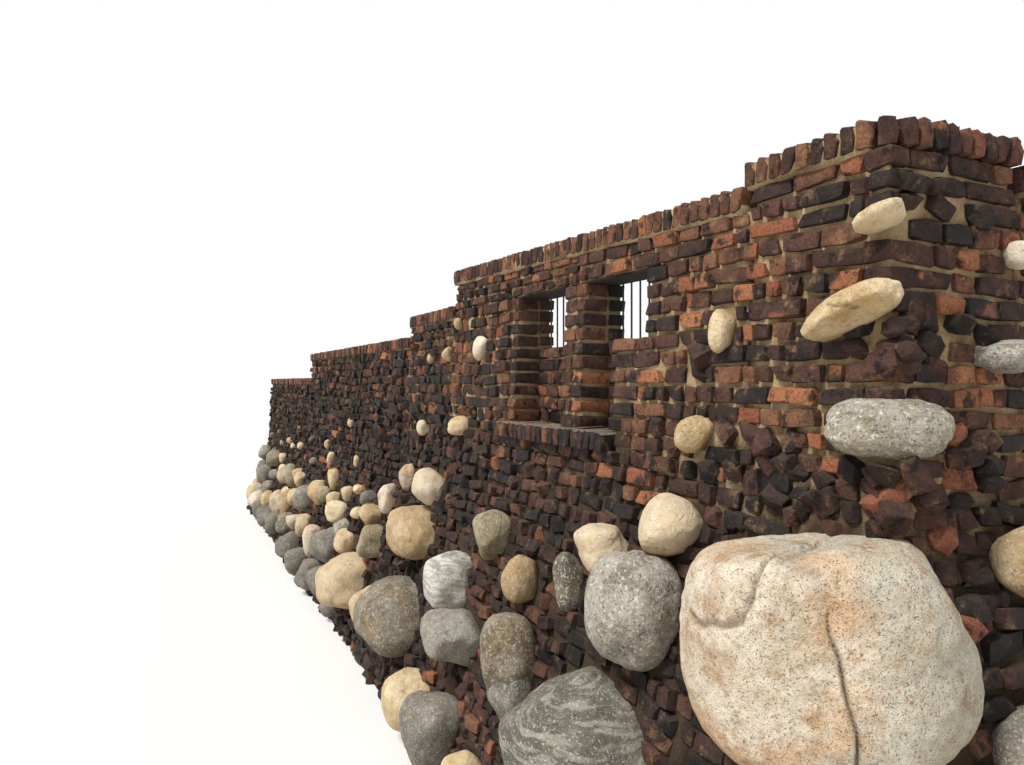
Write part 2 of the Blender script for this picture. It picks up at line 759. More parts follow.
@dataclass(frozen=True)
class Crack:
    """A groove round a stone, as points of bearing in degrees and height from the middle."""

    points: tuple[Pair, ...]
    depth: float
    width: float
    stain: float = 1.0

    def share(self, bearing: float, height: float, radius: float) -> float:
        """How far into the groove a place is, from 0 to 1; the stone's radius turns bearings into lengths."""
        here = Vector((radians(bearing) * radius, height))
        here += Vector([noise.noise(Vector((*here * 14, level))) for level in (1.0, 9.0)]) * 0.016
        nearest = inf
        for (bearing_a, height_a), (bearing_b, height_b) in zip(self.points, self.points[1:]):
            a = Vector((radians(bearing_a) * radius, height_a))
            b = Vector((radians(bearing_b) * radius, height_b))
            along = min(max((here - a).dot(b - a) / (b - a).length_squared, 0.0), 1.0)
            nearest = min(nearest, (here - a - (b - a) * along).length)
        return exp(-((nearest / self.width) ** 2))


class Carver:
    """Shapes stones from a fine ball: squarish, with flats, dents and grooves."""

    def __init__(self, seed: int) -> None:
        """Set the seed that the stones' shapes come from."""
        self.seed = seed

    def carve(self, mesh: bmesh.types.BMesh, stone: Stone, cracks: tuple[Crack, ...] = ()) -> None:
        """Add one stone to a mesh, with the grooves that its cracks cut into it."""
        layers = mesh.verts.layers.float
        shade, crease = (layers.get(name) or layers.new(name) for name in ("shade", "crease"))
        dice = Random(f"{self.seed} {stone.name}")
        own_shade = dice.random()
        flats = [(Vector(f[:3]).normalized(), f[3]) for f in stone.flats]
        flats += [(random_way(dice), dice.uniform(0.8, 0.97)) for _ in range(stone.facets)]
        offset = Vector([dice.uniform(-50, 50) for _ in range(3)])
        verts = bmesh.ops.create_icosphere(mesh, subdivisions=stone.detail, radius=1.0)["verts"]
        shaped = [self._shaped(vert.co.normalized(), stone, flats, offset) for vert in verts]
        low = [min(p[axis] for p in shaped) for axis in range(3)]
        high = [max(p[axis] for p in shaped) for axis in range(3)]
        turned = stone.matrix()
        mean = (stone.half.x + stone.half.y) / 2
        for vert, point in zip(verts, shaped):
            fitted = turned @ Vector([
                (2 * c - bottom - top) / (top - bottom) * half
                for c, bottom, top, half in zip(point, low, high, stone.half)
            ])
            if cracks:
                bearing = degrees(atan2(-fitted.y, fitted.x))
                shares = [crack.share(bearing, fitted.z, mean) for crack in cracks]
                vert[crease] = max(crack.stain * share**2 for crack, share in zip(cracks, shares))
                depth = max(crack.depth * share for crack, share in zip(cracks, shares))
                fitted -= fitted.normalized() * depth
            vert[shade] = own_shade
            vert.co = stone.middle + fitted
        for loop_face in {f for v in verts for f in v.link_faces}:
            loop_face.smooth = True

    @staticmethod
    def _shaped(way: Vector, stone: Stone, flats: list[tuple[Vector, float]], offset: Vector) -> Vector:
        """The stone's surface in one direction, for half sizes of about 1."""
        power, plan, soft = stone.squareness, stone.plan_squareness or stone.squareness, stone.softness
        across = (abs(way.x) ** plan + abs(way.y) ** plan) ** (power / plan)
        reach = (across + abs(way.z) ** power) ** (-1 / power)
        for flat, distance in flats:
            facing = way.dot(flat)
            if facing > 0.2:
                reach = -soft * log(exp(-reach / soft) + exp(-distance / facing / soft))
        swell = stone.swell * (noise.noise(way * 1.4 + offset) + 0.42 * noise.noise(way * 3.6 + offset))
        point = way * (reach * (1.03 + swell) + 0.012 * noise.noise(way * 11 + offset))
        slim = 1 - abs(stone.taper) * max(copysign(point.z, point.z * stone.taper) + 0.6, 0.0) / 1.6
        return Vector((point.x * slim, point.y * slim, point.z))


@dataclass
class Brick:
    """A laid brick: the middle of its face, its turn, its scale, its shape, its firing and its dust."""

    middle: Vector
    turn: Triple
    scale: Triple
    shape: int
    tint: float
    kiln: float
    shade: float
    dust: float = 0.1


class Cut(Enum):
    CLOSER = ("closer", 0.072, 3)
    HEADER = ("header", 0.1, 5)
    THREE_QUARTER = ("three_quarter", 0.148, 3)
    STRETCHER = ("stretcher", 0.202, 4)
    LUMP = ("lump", 0.13, 4)
    EDGE = ("edge", 0.057, 5)
    PLAIN = ("plain", 0.202, 3)

    @property
    def length(self) -> float:
        """The cut's length along the wall."""
        return self.value[1]


class BrickKit:
    """The shapes that bricks are laid with, kept in a collection outside the scene."""

    HEIGHT = 0.062
    EDGE_LENGTH = 0.215
    EDGE_HEIGHT = 0.1

    def __init__(self, seed: int) -> None:
        self.dice = Random(seed)
        self.collection = bpy.data.collections.new("brick_kit")
        self.numbers: dict[Cut, list[int]] = {}
        count = 0
        for cut in Cut:
            self.numbers[cut] = []
            for _ in range(cut.value[2]):
                points, faces = self._shape(cut)
                mesh = bpy.data.meshes.new(f"brick_{count:02d}")
                mesh.from_pydata(points, [], faces)
                mesh.shade_smooth()
                self.collection.objects.link(bpy.data.objects.new(mesh.name, mesh))
                self.numbers[cut].append(count)
                count += 1

    def _shape(self, cut: Cut) -> tuple[list, list]:
        """Points and faces of one shape, with its face at y = 0."""
        if cut is Cut.LUMP:
            return self._lump()
        if cut is Cut.EDGE:
            size = (cut.length, self.EDGE_LENGTH, self.EDGE_HEIGHT)
            stations = ([-1, -0.62, 0.62, 1], [0, 0.07, 0.5, 0.93, 1], [-1, 0.1, 0.72, 1])
            return self._block(size, stations, radius=0.009, wear=0.0025, back=True)
        size = (cut.length, BRICK_DEPTH, self.HEIGHT)
        if cut is Cut.PLAIN:
            stations = ([-1, -0.9, 0.9, 1], [0, 0.12, 1], [-1, -0.7, 0.7, 1])
            return self._block(size, stations, radius=0.005, wear=0.0012)
        edge = 1 - 0.016 / cut.length
        middle = [-edge, 0.02, edge] if cut.length > 0.09 else [-edge, edge]
        stations = ([-1, *middle, 1], [0, 0.1, 1], [-1, -0.74, 0.74, 1])
        return self._block(size, stations, radius=0.0065, wear=0.0022)

    def _block(
        self, size: tuple, stations: tuple, radius: float, wear: float, back: bool = False
    ) -> tuple[list, list]:
        """Points and faces of a brick with worn edges, also round its far end where it shows its back.

        Its faces are cut at stations from -1 to 1 along X and Z and from 0 to 1 along Y.
        """
        dice = self.dice
        points, faces = lattice_box(*stations)
        half = Vector(size) / 2
        lift, skew = dice.uniform(-0.035, 0.035), dice.uniform(-0.16, 0.16)
        chipped = [(dice.choice((-1, 1)), dice.choice((-1, 1)), dice.uniform(0.002, 0.009)) for _ in range(2)]
        bulge = dice.uniform(-0.001, 0.003)
        shaped = []
        for x, y, z in points:
            point = Vector((x * half.x, (2 * y - 1) * half.y, z * half.z))
            rounded = back or y < 0.5
            inner = Vector([min(max(c, -h + radius), h - radius) for c, h in zip(point, half)])
            if not rounded:
                inner.y = point.y
            away = point - inner
            if away.length > radius:
                point = inner + away.normalized() * radius
            if y == 0:
                point.y -= bulge * (1 - x * x) * (1 - z * z)
            for side, end, bite in chipped:
                if x * side > 0.5 and z * end > 0.5 and y < 0.2:
                    point += Vector((-side * bite, bite * 0.5, -end * bite * 0.6))
            point.z += point.x * lift + dice.uniform(-wear, wear)
            point.x += point.z * skew + dice.uniform(-wear, wear)
            point.y += half.y + dice.uniform(-wear, wear)
            shaped.append(tuple(point))
        return shaped, faces

    def _lump(self) -> tuple[list, list]:
        """A fused clinker lump: the hull of points scattered over a rough block."""
        dice = self.dice
        mesh = bmesh.new()
        for _ in range(20):
            way = random_way(dice)
            reach = dice.uniform(0.86, 1.04) * sum(abs(c) ** 4 for c in way) ** -0.25
            mesh.verts.new((way.x * 0.064 * reach, way.y * 0.056 * reach + 0.045, way.z * 0.033 * reach))
        hull = bmesh.ops.convex_hull(mesh, input=mesh.verts)
        bmesh.ops.delete(mesh, geom=list({*hull["geom_interior"], *hull["geom_unused"]}), context="VERTS")
        bmesh.ops.recalc_face_normals(mesh, faces=mesh.faces)
        mesh.verts.index_update()
        shaped = [tuple(v.co) for v in mesh.verts], [tuple(v.index for v in f.verts) for f in mesh.faces]
        mesh.free()
        return shaped

    def pick(self, cut: Cut, dice: Random) -> int:
        """The number of one of a cut's shapes."""
        return dice.choice(self.numbers[cut])

    def scale(self, cut: Cut, length: float, height: float, depth: float = 1.0) -> Triple:
        """The scale that brings a cut to a length and a height."""
        full = self.EDGE_HEIGHT if cut is Cut.EDGE else self.HEIGHT
        return length / cut.length, depth, height / full


class Bricklaying:
    def __init__(self, kit: BrickKit, material: Material) -> None:
        self.kit = kit
        self.material = material
        self.tree = Recipe("lay_bricks", {
            "Points": "Geometry", "Kit": "Collection", "Wear": "Float", "Grain": "Float", "Seed": "Float",
            "Finish": "Material",
        })
        add, given = self.tree.node, self.tree.given
        shapes = add("GeometryNodeCollectionInfo", {
            "Collection": given["Kit"], "Separate Children": True, "Reset Children": True,
        })
        turn = add("FunctionNodeEulerToRotation", {0: self._named("turn", "FLOAT_VECTOR")})
        laid = add("GeometryNodeInstanceOnPoints", {
            "Points": given["Points"], "Instance": shapes.outputs[0], "Pick Instance": True,
            "Instance Index": self._named("shape", "INT"), "Rotation": turn.outputs[0],
            "Scale": self._named("scale", "FLOAT_VECTOR"),
        })
        real = add("GeometryNodeRealizeInstances", {0: laid.outputs[0]})
        where = add("GeometryNodeInputPosition").outputs[0]
        rough = add("ShaderNodeTexNoise", {
            "Vector": where, "W": given["Seed"], "Scale": given["Grain"], "Detail": 2.0,
        }, noise_dimensions="4D")
        centred = add("ShaderNodeVectorMath", {0: rough.outputs[1], 1: (0.5,) * 3}, operation="SUBTRACT")
        stray = {0: centred.outputs[0], "Scale": given["Wear"]}
        offset = add("ShaderNodeVectorMath", stray, operation="SCALE").outputs[0]
        moved = add("GeometryNodeSetPosition", {"Geometry": real.outputs[0], "Offset": offset})
        self.tree.close(moved.outputs[0])

    def _named(self, name: str, kind: str) -> NodeSocket:
        """The value of one of the points' attributes."""
        made = self.tree.node("GeometryNodeInputNamedAttribute", {"Name": name}, data_type=kind)
        return next(s for s in made.outputs if s.enabled and s.name == "Attribute")

    def lay(self, name: str, bricks: list[Brick], wear: float = 0.012, grain: float = 26.0) -> Object:
        """Turn bricks into one plain mesh whose points stray by the wear, in waves of the grain."""
        points = piece_from(f"{name}_points", [b.middle for b in bricks], [], self.material)
        for keys, kind, member in (
            (("turn", "scale"), "FLOAT_VECTOR", "vector"), (("shape",), "INT", "value"),
            (("tint", "kiln", "shade", "dust"), "FLOAT", "value"),
        ):
            for key in keys:
                values = [getattr(b, key) for b in bricks]
                if member == "vector":
                    values = [part for value in values for part in value]
                points.data.attributes.new(key, kind, "POINT").data.foreach_set(member, values)
        mesh = self.tree.cook(points, {
            "Kit": self.kit.collection, "Wear": wear, "Grain": grain, "Seed": 3.0, "Finish": self.material,
        })
        for key in ("turn", "scale", "shape"):
            if key in mesh.attributes:
                mesh.attributes.remove(mesh.attributes[key])
        mesh.set_sharp_from_angle(angle=radians(28))
        LOG.info("%s: %d bricks", name, len(bricks))
        return show(mesh, name)


@dataclass(frozen=True)
class Hole:
    """A stretch of a face that takes no bricks of its own."""

    start: float
    end: float
    foot: float
    top: float
    deep: float = 1.0


@dataclass
class Mason:
    """Lays courses of brick round holes and stones."""

    wall: Wall
    kit: BrickKit
    stones: list[Stone]
    dice: Random
    plain: bool = False
    bricks: list[Brick] = field(default_factory=list)

    def band(
        self, face: Face, start: float, end: float, foot: float, top: Level, courses: int,
        holes: Iterable[Hole] = (), corner: int = 0, toothed: tuple[bool, bool] = (False, False),
    ) -> None:
        """Fill part of a face with courses.

        Args:
            face: The face.
            start: Where the band starts along it.
            end: Where it ends.
            foot: The height of its lowest joint.
            top: The height of its top, or that at a distance along the face.
            courses: How many courses it has.
            holes: Openings in the face.
            corner: 1 where even courses start with a brick that turns the corner, -1 for odd ones, else 0.
            toothed: Whether the start and the end interlock with the next band.
        """
        over = as_height(top)
        for number in range(courses):
            def line(distance: float, step: int, n: int = number) -> float:
                """Height of the joint below or above the course."""
                height = foot + (over(distance) - foot) * (n + step) / courses
                return height + self.wall.wave(face.place(distance), height, self.highest(face, distance))

            middle = (line((start + end) / 2, 0) + line((start + end) / 2, 1)) / 2
            begin, finish = start - face.reach(middle), end
            if corner:
                leads = (number % 2 == 0) == (corner > 0)
                begin = -face.lean(0, middle) - 0.012 + (0.0 if leads else BRICK_DEPTH + JOINT)
            if toothed[0]:
                begin += self._tooth(start, middle)
            if toothed[1]:
                finish += self._tooth(end, middle)
            for left, right in self._free(face, begin, finish, middle, holes):
                beside = [h for h in holes if h.foot < middle < h.top]
                self._course(face, left, right, line, beside)

    def highest(self, face: Face, distance: float) -> float:
        """The top of the masonry over a place on a face."""
        place = face.place(distance)
        if place < 0:
            return self.wall.return_top
        return next((b.top(place) for b in self.wall.bays if place <= b.end), self.wall.end_bay.far_top)

    @staticmethod
    def _tooth(boundary: float, height: float) -> float:
        """How far a course runs past a boundary between bands."""
        return 0.1 * noise.noise(Vector((boundary * 3.1, round(height, 2) * 37.0, 1.5)))

    def _free(self, face: Face, start: float, end: float, height: float, holes: Iterable[Hole]) -> list:
        """The stretches of a course between holes and stones."""
        taken = [(h.start, h.end) for h in holes if h.foot < height < h.top]
        for stone in self.stones:
            covered = stone.footprint(face, height)
            if covered and covered[0] < end and covered[1] > start:
                taken.append((covered[0] - 0.002, covered[1] + 0.002))
        free, cursor = [], start
        for left, right in sorted(taken):
            if left > cursor:
                free.append((cursor, min(left, end)))
            cursor = max(cursor, right)
        if cursor < end:
            free.append((cursor, end))
        return [(left, right) for left, right in free if right - left > 0.045]

    def _course(
        self, face: Face, start: float, end: float, line: Line, beside: list[Hole]
    ) -> None:
        """Fill one stretch of a course, with deep bricks beside holes."""
        height = line((start + end) / 2, 0)
        cursor = start + JOINT / 2
        while end - cursor > 0.02:
            wild = self.wall.wildness(face.place(cursor), height)
            beside_start = cursor < start + JOINT
            deep = self._depth(start, beside) if beside_start else 1.0
            cut = Cut.HEADER if deep > 1 else self._next_cut(end - cursor, wild)
            length = cut.length * self.dice.uniform(0.88, 1.12)
            beside_end = end - cursor - length - JOINT < 0.055
            if beside_end:
                length = end - cursor - JOINT / 2
                deep = max(deep, self._depth(end, beside))
            self._place(face, cursor + length / 2, length, cut, wild, line, deep, beside_start or beside_end)
            cursor += length + JOINT

    @staticmethod
    def _depth(edge: float, beside: list[Hole]) -> float:
        """How deep the bricks at an edge have to be."""
        near = (h.deep for h in beside if min(abs(edge - h.start), abs(edge - h.end)) < 0.01)
        return max(near, default=1.0)

    def _next_cut(self, room: float, wild: float) -> Cut:
        """Choose the next brick for the room that is left."""
        if self.plain:
            return Cut.HEADER if room < 0.16 or self.dice.random() < 0.12 else Cut.STRETCHER
        weights = {
            Cut.CLOSER: 0.12 + 0.14 * wild, Cut.HEADER: 0.3 + 0.14 * wild,
            Cut.THREE_QUARTER: 0.22 - 0.04 * wild, Cut.STRETCHER: 0.34 - 0.3 * wild,
            Cut.LUMP: 0.36 * max(wild - 0.14, 0.0),
        }
        fits = [c for c in weights if c.length * 0.9 <= room] or [Cut.CLOSER]
        return self.dice.choices(fits, [weights[c] for c in fits])[0]

    def _place(
        self, face: Face, distance: float, length: float, cut: Cut, wild: float,
        line: Line, deep: float, tucked: bool,
    ) -> None:
        """Set one brick into a course; a tucked one stands no prouder than what it lies beside."""
        dice = self.dice
        foot, head = line(distance, 0), line(distance, 1)
        slope = (line(distance + 0.05, 0) - line(distance - 0.05, 0)) / 0.1
        height = (foot + head) / 2
        tall = (head - foot - BED_JOINT) * dice.uniform(0.93 - 0.1 * wild, 1.08 + 0.16 * wild)
        proud = max(dice.gauss(0.003 + 0.014 * wild, 0.005 + 0.012 * wild), -0.006)
        loose = 0.014 + 0.09 * wild + 0.15 * wild**3
        if cut is Cut.LUMP:
            tall *= 1.35
            proud += 0.008
        elif dice.random() < 0.16 * wild:
            proud += dice.uniform(0.01, 0.035)
        if tucked:
            proud = min(proud, 0.005)
        if deep > 1:
            cut, wild, loose = Cut.THREE_QUARTER, 0.35, 0.01
        if self.plain:
            proud, loose = dice.gauss(0.002, 0.003), 0.015
        leaning = (face.lean(distance, height - 0.1) - face.lean(distance, height + 0.1)) / 0.2
        pitch = -atan(leaning) * 0.7 + dice.gauss(0, loose)
        roll = -atan(slope * face.sense) + dice.gauss(0, loose * 0.8)
        yaw = face.heading + dice.gauss(0, loose)
        if dice.random() < 0.5:
            roll, pitch = roll + pi, -pitch
        tint, kiln, shade = self._firing(wild)
        cut = Cut.PLAIN if self.plain else cut
        middle, scale = face.point(distance, height, proud), self.kit.scale(cut, length, tall, deep)
        shape = self.kit.pick(cut, dice)
        self.bricks.append(Brick(middle, (pitch, roll, yaw), scale, shape, tint, kiln, shade))

    def _firing(self, wild: float) -> Triple:
        """Tint, share of flashed face and shade of flash for one brick."""
        dice = self.dice
        tint = min(max(dice.gauss(0.68 - 0.48 * wild, 0.29), 0.0), 1.0)
        flashed = dice.random() < max(0.22 - 0.34 * wild, 0.025)
        kiln = dice.uniform(0.5, 1.0) if flashed else dice.uniform(0.0, 0.55 - 0.25 * wild)
        return tint, kiln, dice.random()

    def edge_row(
        self, start: Vector, end: Vector, heading: float, length: float, height: float,
        dust: float = 0.35, dark: float = 0.0, mitre: bool = False,
    ) -> None:
        """Lay a row of bricks on edge between two points under their outer ends.

        Args:
            start: The first end of the row.
            end: The other end.
            heading: The angle that turns a brick's own axes.
            length: How far the bricks reach inwards.
            height: How high they stand.
            dust: How dusty their tops are.
            dark: How much darker than usual they are.
            mitre: Whether the first bricks are cut short for a row that meets this one at a right angle.
        """
        dice = self.dice
        run = end - start
        count = max(round(run.length / EDGE_PITCH), 1)
        pitch = run.length / count
        level = Vector((run.x, run.y)).length
        own = Vector((cos(heading), sin(heading), 0))
        slope = atan2(run.z, level) * (1 if run.dot(own) > 0 else -1) if level else 0.0
        outward = -UP.cross(own)
        for number in range(count):
            middle = start + run * ((number + 0.5) / count) + UP * (height / 2 + dice.uniform(-0.003, 0.003))
            middle += outward * dice.uniform(-0.007, 0.004)
            turn = (dice.gauss(0, 0.015), -slope + dice.gauss(0, 0.02), heading + dice.gauss(0, 0.02))
            tall = (height - 0.002) * dice.uniform(0.95, 1.01)
            wide = (pitch - 0.006) * dice.uniform(0.92, 1.05)
            deep = min(length, 0.115 + level * (number + 0.5) / count) if mitre else length
            tint, kiln, shade = self._firing(0.04 + dark)
            self.bricks.append(Brick(
                middle, turn, self.kit.scale(Cut.EDGE, wide, tall, deep / self.kit.EDGE_LENGTH),
                self.kit.pick(Cut.EDGE, dice), tint, kiln, shade, dust,
            ))


class MortarCore:
    """The bedding mortar of one bay: closed blocks a little behind the brick faces."""

    GRID = 0.055

    def __init__(self, wall: Wall) -> None:
        """Start with no blocks."""
        self.wall = wall
        self.points: list[Vector] = []
        self.faces: list[tuple] = []

    def block(
        self, face: Face, start: float, end: float, foot: Level, top: Level,
        back: float, recess: float = RECESS,
    ) -> "MortarCore":
        """Add a block behind a face.

        Args:
            face: The face that it lies behind.
            start: Where it starts along the face.
            end: Where it ends.
            foot: Its lowest height, or that at a distance along the face.
            top: Its highest height, or that at a distance along the face.
            back: How far behind the face's origin it reaches.
            recess: How far its surface lies behind the bricks.

        Returns:
            The core itself.
        """
        under, over = as_height(foot), as_height(top)

        def place(a: float, b: float, c: float) -> Vector:
            """A point of the block from its shares along, in and up."""
            distance = start + (end - start) * (a if face.sense > 0 else 1 - a)
            height = under(distance) + (over(distance) - under(distance)) * c
            front = face.lean(distance, height) - recess
            flat = face.origin + face.along * (face.sense * distance)
            return flat + face.outward * (front + (recess - back - front) * b) + UP * height

        middle = (start + end) / 2
        return self._add((abs(end - start), back, over(middle) - under(middle)), place, flat_sides=True)

    def turning_block(self, top: float) -> "MortarCore":
        """Add the corner pier's block, whose two outer faces lean."""
        wall = self.wall
        corner = wall.corner

        def place(a: float, b: float, c: float) -> Vector:
            """A point of the block from its shares along, in and up."""
            height = top * c
            lean = wall.lean(0, height) - RECESS
            x = -wall.pier_width + RECESS + (wall.pier_width - RECESS + lean) * a
            y = -lean + (wall.pier_depth - RECESS + lean) * b
            return corner + Vector((x, y, height))

        return self._add((wall.pier_width, wall.pier_depth, top), place)

    def _add(self, size: tuple, place: Callable, flat_sides: bool = False) -> "MortarCore":
        """Add a lattice box that is bent to its place and made uneven."""
        nx, ny, nz = (max(int(length / self.GRID), 1) for length in size)
        shares, faces = lattice_box(even(nx), even(2 if flat_sides else ny), even(nz))
        first = len(self.points)
        for a, b, c in shares:
            point = place(a, b, c)
            if point.z > 0.01:
                fine, coarse = noise.noise_vector(point * 11), noise.noise_vector(point * 3.5)
                point = point + fine * 0.009 + coarse * 0.006
            self.points.append(point)
        self.faces += [tuple(first + n for n in f) for f in faces]
        return self

    def finish(self, name: str, material: Material) -> Object:
        """Make the piece."""
        piece = piece_from(name, self.points, self.faces, material)
        piece.data.shade_smooth()
        stand_on_floor(piece.data)
        return piece


class BoulderWork:
    """All the field stones of the wall, those with solids of their own and the loose cobbles."""

    CRACKS = {
        "great_corner_boulder": (
            Crack(((58, 0.37), (49, 0.3), (43, 0.22)), 0.014, 0.045, 0.14),
            Crack(((70, 0.385), (60, 0.35), (48, 0.345)), 0.02, 0.038, 0.42),
            Crack((
                (44, 0.24), (42.5, 0.17), (38.8, 0.1), (37.6, 0.02), (33.8, -0.05), (32.2, -0.147),
                (28, -0.36),
            ), 0.022, 0.009),
            Crack((
                (77, 0.37), (77.5, 0.25), (80, 0.17), (90, 0.135), (103, 0.12), (118, 0.11),
            ), 0.022, 0.014, 0.7),
        ),
        "long_corner_stone": (
            Crack(((112, 0.03), (92, 0.012), (70, 0.0), (48, 0.016), (30, 0.0)), 0.006, 0.006, 0.8),
            Crack(((100, 0.05), (84, 0.044), (62, 0.04)), 0.004, 0.004, 0.7),
        ),
        "cream_egg_boulder": (Crack(((70, -0.085), (58, -0.1), (45, -0.085)), 0.003, 0.004, 0.7),),
    }
    GREAT_FLATS = (
        (0.675, -0.738, 0.0, 0.88), (-0.096, -0.088, 1.0, 0.9), (0.67, 0.611, 0.42, 0.99),
        (0.369, 0.338, -0.85, 0.97),
    )
    GREAT_SHIFT = Vector((-0.022, -0.02, -0.035))
    GREAT_TRIM = Vector((-0.033, -0.03, 0.035))

    def __init__(self, wall: Wall, faces: Faces, palette: Palette) -> None:
        """Set out every stone of a wall."""
        self.wall = wall
        self.faces = faces
        self.palette = palette
        self.carver = Carver(11)
        self.named = self._named()
        self.cobbles = self._cobbles()

    def _named(self) -> list[Stone]:
        """The stones that stand for solids, with place and size read from them."""
        k = StoneKind
        kinds = {
            "great_corner_boulder": (k.GRANITE, -4, 0, 7, 3.2, 0),
            "grey_corner_boulder": (k.SPECKLED, 0, 128, 5, 2.7, 3),
            "long_corner_stone": (k.CREAM, -18, 0, 5, 3.0, 3),
            "round_granite_boulder": (k.SPECKLED, 0, 0, 5, 2.4, 3),
            "cream_egg_boulder": (k.IVORY, -28, 0, 5, 2.1, 0),
            "broad_cream_boulder": (k.IVORY, 0, 0, 5, 2.8, 9),
            "banded_foot_boulder": (k.BANDED, 14, 0, 5, 2.5, 6),
            "golden_boulder": (k.TAN, 0, 0, 4, 2.3, 4),
            "brown_foot_boulder": (k.MOTTLED, -8, 0, 5, 2.5, 6),
            "slab_foot_boulder": (k.GREY, 8, 0, 5, 3.0, 9),
            "olive_boulder": (k.OLIVE, 0, 0, 4, 2.6, 6),
            "striped_boulder": (k.STRIPED, 0, 0, 5, 2.5, 5),
            "large_tan_boulder": (k.TAN, 0, 0, 5, 2.9, 7),
            "mottled_foot_boulder": (k.MOTTLED, 0, 0, 5, 2.6, 8),
            "tan_foot_boulder": (k.TAN, 0, 0, 4, 2.4, 6),
            "return_tan_boulder": (k.TAN, 0, 0, 4, 2.5, 5),
            "return_foot_boulder": (k.GREY, 0, 0, 4, 2.5, 6),
        }
        stones = []
        for node, (kind, tilt, turn, detail, squareness, facets) in kinds.items():
            low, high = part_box(node)
            box = (high - low) / 2
            heading = pi / 2 if node.startswith("return") else 0.0
            across = (box.y, box.x) if heading else (box.x, box.y)
            wide, tall = self._unturned(across[0], box.z, tilt)
            wide, deep = self._unturned(wide, across[1], turn)
            stone = Stone(
                f"{node}_stone", kind, (low + high) / 2, Vector((wide, deep, tall)), heading,
                tilt, turn, detail, squareness, facets, node,
            )
            if node == "great_corner_boulder":
                stone = replace(
                    stone, middle=stone.middle + self.GREAT_SHIFT, half=stone.half + self.GREAT_TRIM,
                    flats=self.GREAT_FLATS, plan_squareness=2.1, swell=0.045,
                )
            if node == "cream_egg_boulder":
                stone = replace(stone, taper=0.42, swell=0.05)
            stones.append(stone)
        return stones

    @staticmethod
    def _unturned(first: float, second: float, degrees: float) -> Pair:
        """Half sizes of a rounded stone from those of its box after a turn."""
        c, s = cos(radians(degrees)) ** 2, sin(radians(degrees)) ** 2
        a, b = ((one**2 * c - other**2 * s) / (c - s) for one, other in ((first, second), (second, first)))
        return sqrt(a), sqrt(b)

    def _cobbles(self) -> list[Stone]:
        """The smaller stones: those seen singly, and the many along the foot."""
        k = StoneKind
        front = [
            (1.95, 0.74, 0.13, 0.175, k.GREY), (1.67, 1.39, 0.08, 0.15, k.SPECKLED),
            (3.98, 1.58, 0.159, 0.145, k.IVORY), (4.65, 1.58, 0.088, 0.121, k.GRANITE),
            (5.1, 1.34, 0.104, 0.137, k.GRANITE), (0.9, 2.18, 0.09, 0.08, k.CREAM),
            (0.75, 2.61, 0.05, 0.092, k.CREAM), (3.3, 2.64, 0.06, 0.09, k.IVORY),
            (3.61, 2.08, 0.1, 0.074, k.CREAM), (4.47, 2.02, 0.055, 0.07, k.CREAM),
            (3.78, 2.85, 0.032, 0.046, k.CREAM), (3.98, 2.62, 0.043, 0.06, k.CREAM),
            (4.37, 2.6, 0.033, 0.042, k.CREAM), (5.43, 1.14, 0.14, 0.095, k.TAN),
            (5.73, 1.26, 0.101, 0.079, k.GREY), (5.97, 1.08, 0.092, 0.061, k.CREAM),
            (6.23, 1.28, 0.06, 0.05, k.CREAM), (6.59, 1.19, 0.074, 0.087, k.TAN),
            (6.61, 1.54, 0.04, 0.066, k.CREAM), (7.05, 1.94, 0.04, 0.055, k.CREAM),
            (7.1, 1.05, 0.091, 0.103, k.CREAM), (7.37, 1.26, 0.081, 0.13, k.CREAM),
            (7.83, 1.46, 0.05, 0.085, k.CREAM), (8.25, 1.6, 0.04, 0.065, k.CREAM),
            (9.25, 1.04, 0.104, 0.112, k.TAN), (11.14, 0.93, 0.074, 0.154, k.CREAM),
            (11.43, 1.15, 0.076, 0.083, k.CREAM), (5.2, 0.94, 0.167, 0.156, k.OLIVE),
            (6.12, 0.77, 0.14, 0.133, k.TAN), (6.45, 0.3, 0.21, 0.17, k.GREY),
            (6.78, 0.62, 0.2, 0.185, k.GREY), (6.7, 0.98, 0.16, 0.133, k.CREAM),
            (7.16, 0.23, 0.205, 0.17, k.GREY), (7.54, 0.52, 0.135, 0.195, k.GRANITE),
            (8.18, 0.59, 0.13, 0.15, k.TAN), (7.88, 0.21, 0.2, 0.165, k.GREY),
            (8.64, 0.27, 0.215, 0.18, k.GREY), (8.91, 0.85, 0.115, 0.132, k.GRANITE),
            (9.3, 0.44, 0.165, 0.15, k.SPECKLED), (9.97, 0.61, 0.13, 0.185, k.TAN),
            (10.3, 0.29, 0.215, 0.17, k.GREY), (10.7, 0.54, 0.15, 0.19, k.GRANITE),
            (11.15, 0.25, 0.21, 0.175, k.GREY), (11.56, 0.46, 0.15, 0.145, k.CREAM),
            (11.91, 0.24, 0.19, 0.17, k.GREY), (12.4, 0.35, 0.23, 0.175, k.GRANITE),
            (12.5, 0.77, 0.19, 0.175, k.GREY), (13.08, 0.39, 0.2, 0.18, k.TAN),
            (12.99, 0.8, 0.16, 0.185, k.GREY),
        ]
        side = [
            (0.49, 2.49, 0.12, 0.058, k.SPECKLED), (0.62, 2.85, 0.05, 0.05, k.IVORY),
            (0.33, 1.2, 0.2, 0.21, k.GREY), (1.3, 2.1, 0.12, 0.09, k.CREAM),
            (1.75, 1.55, 0.16, 0.13, k.SPECKLED), (1.55, 2.62, 0.07, 0.05, k.CREAM),
        ]
        dice = Random(23)
        top = self._cobble("top_corner_stone", self.faces.front, 0.0, 2.935, 0.086, 0.034, k.CREAM, dice)
        stones = [replace(top, tilt=-20.0, squareness=2.6, taper=0.0)]
        for face, rows, label in ((self.faces.front, front, "front"), (self.faces.side, side, "side")):
            for row in rows:
                stones.append(self._cobble(f"{label}_{len(stones)}", face, *row, dice))
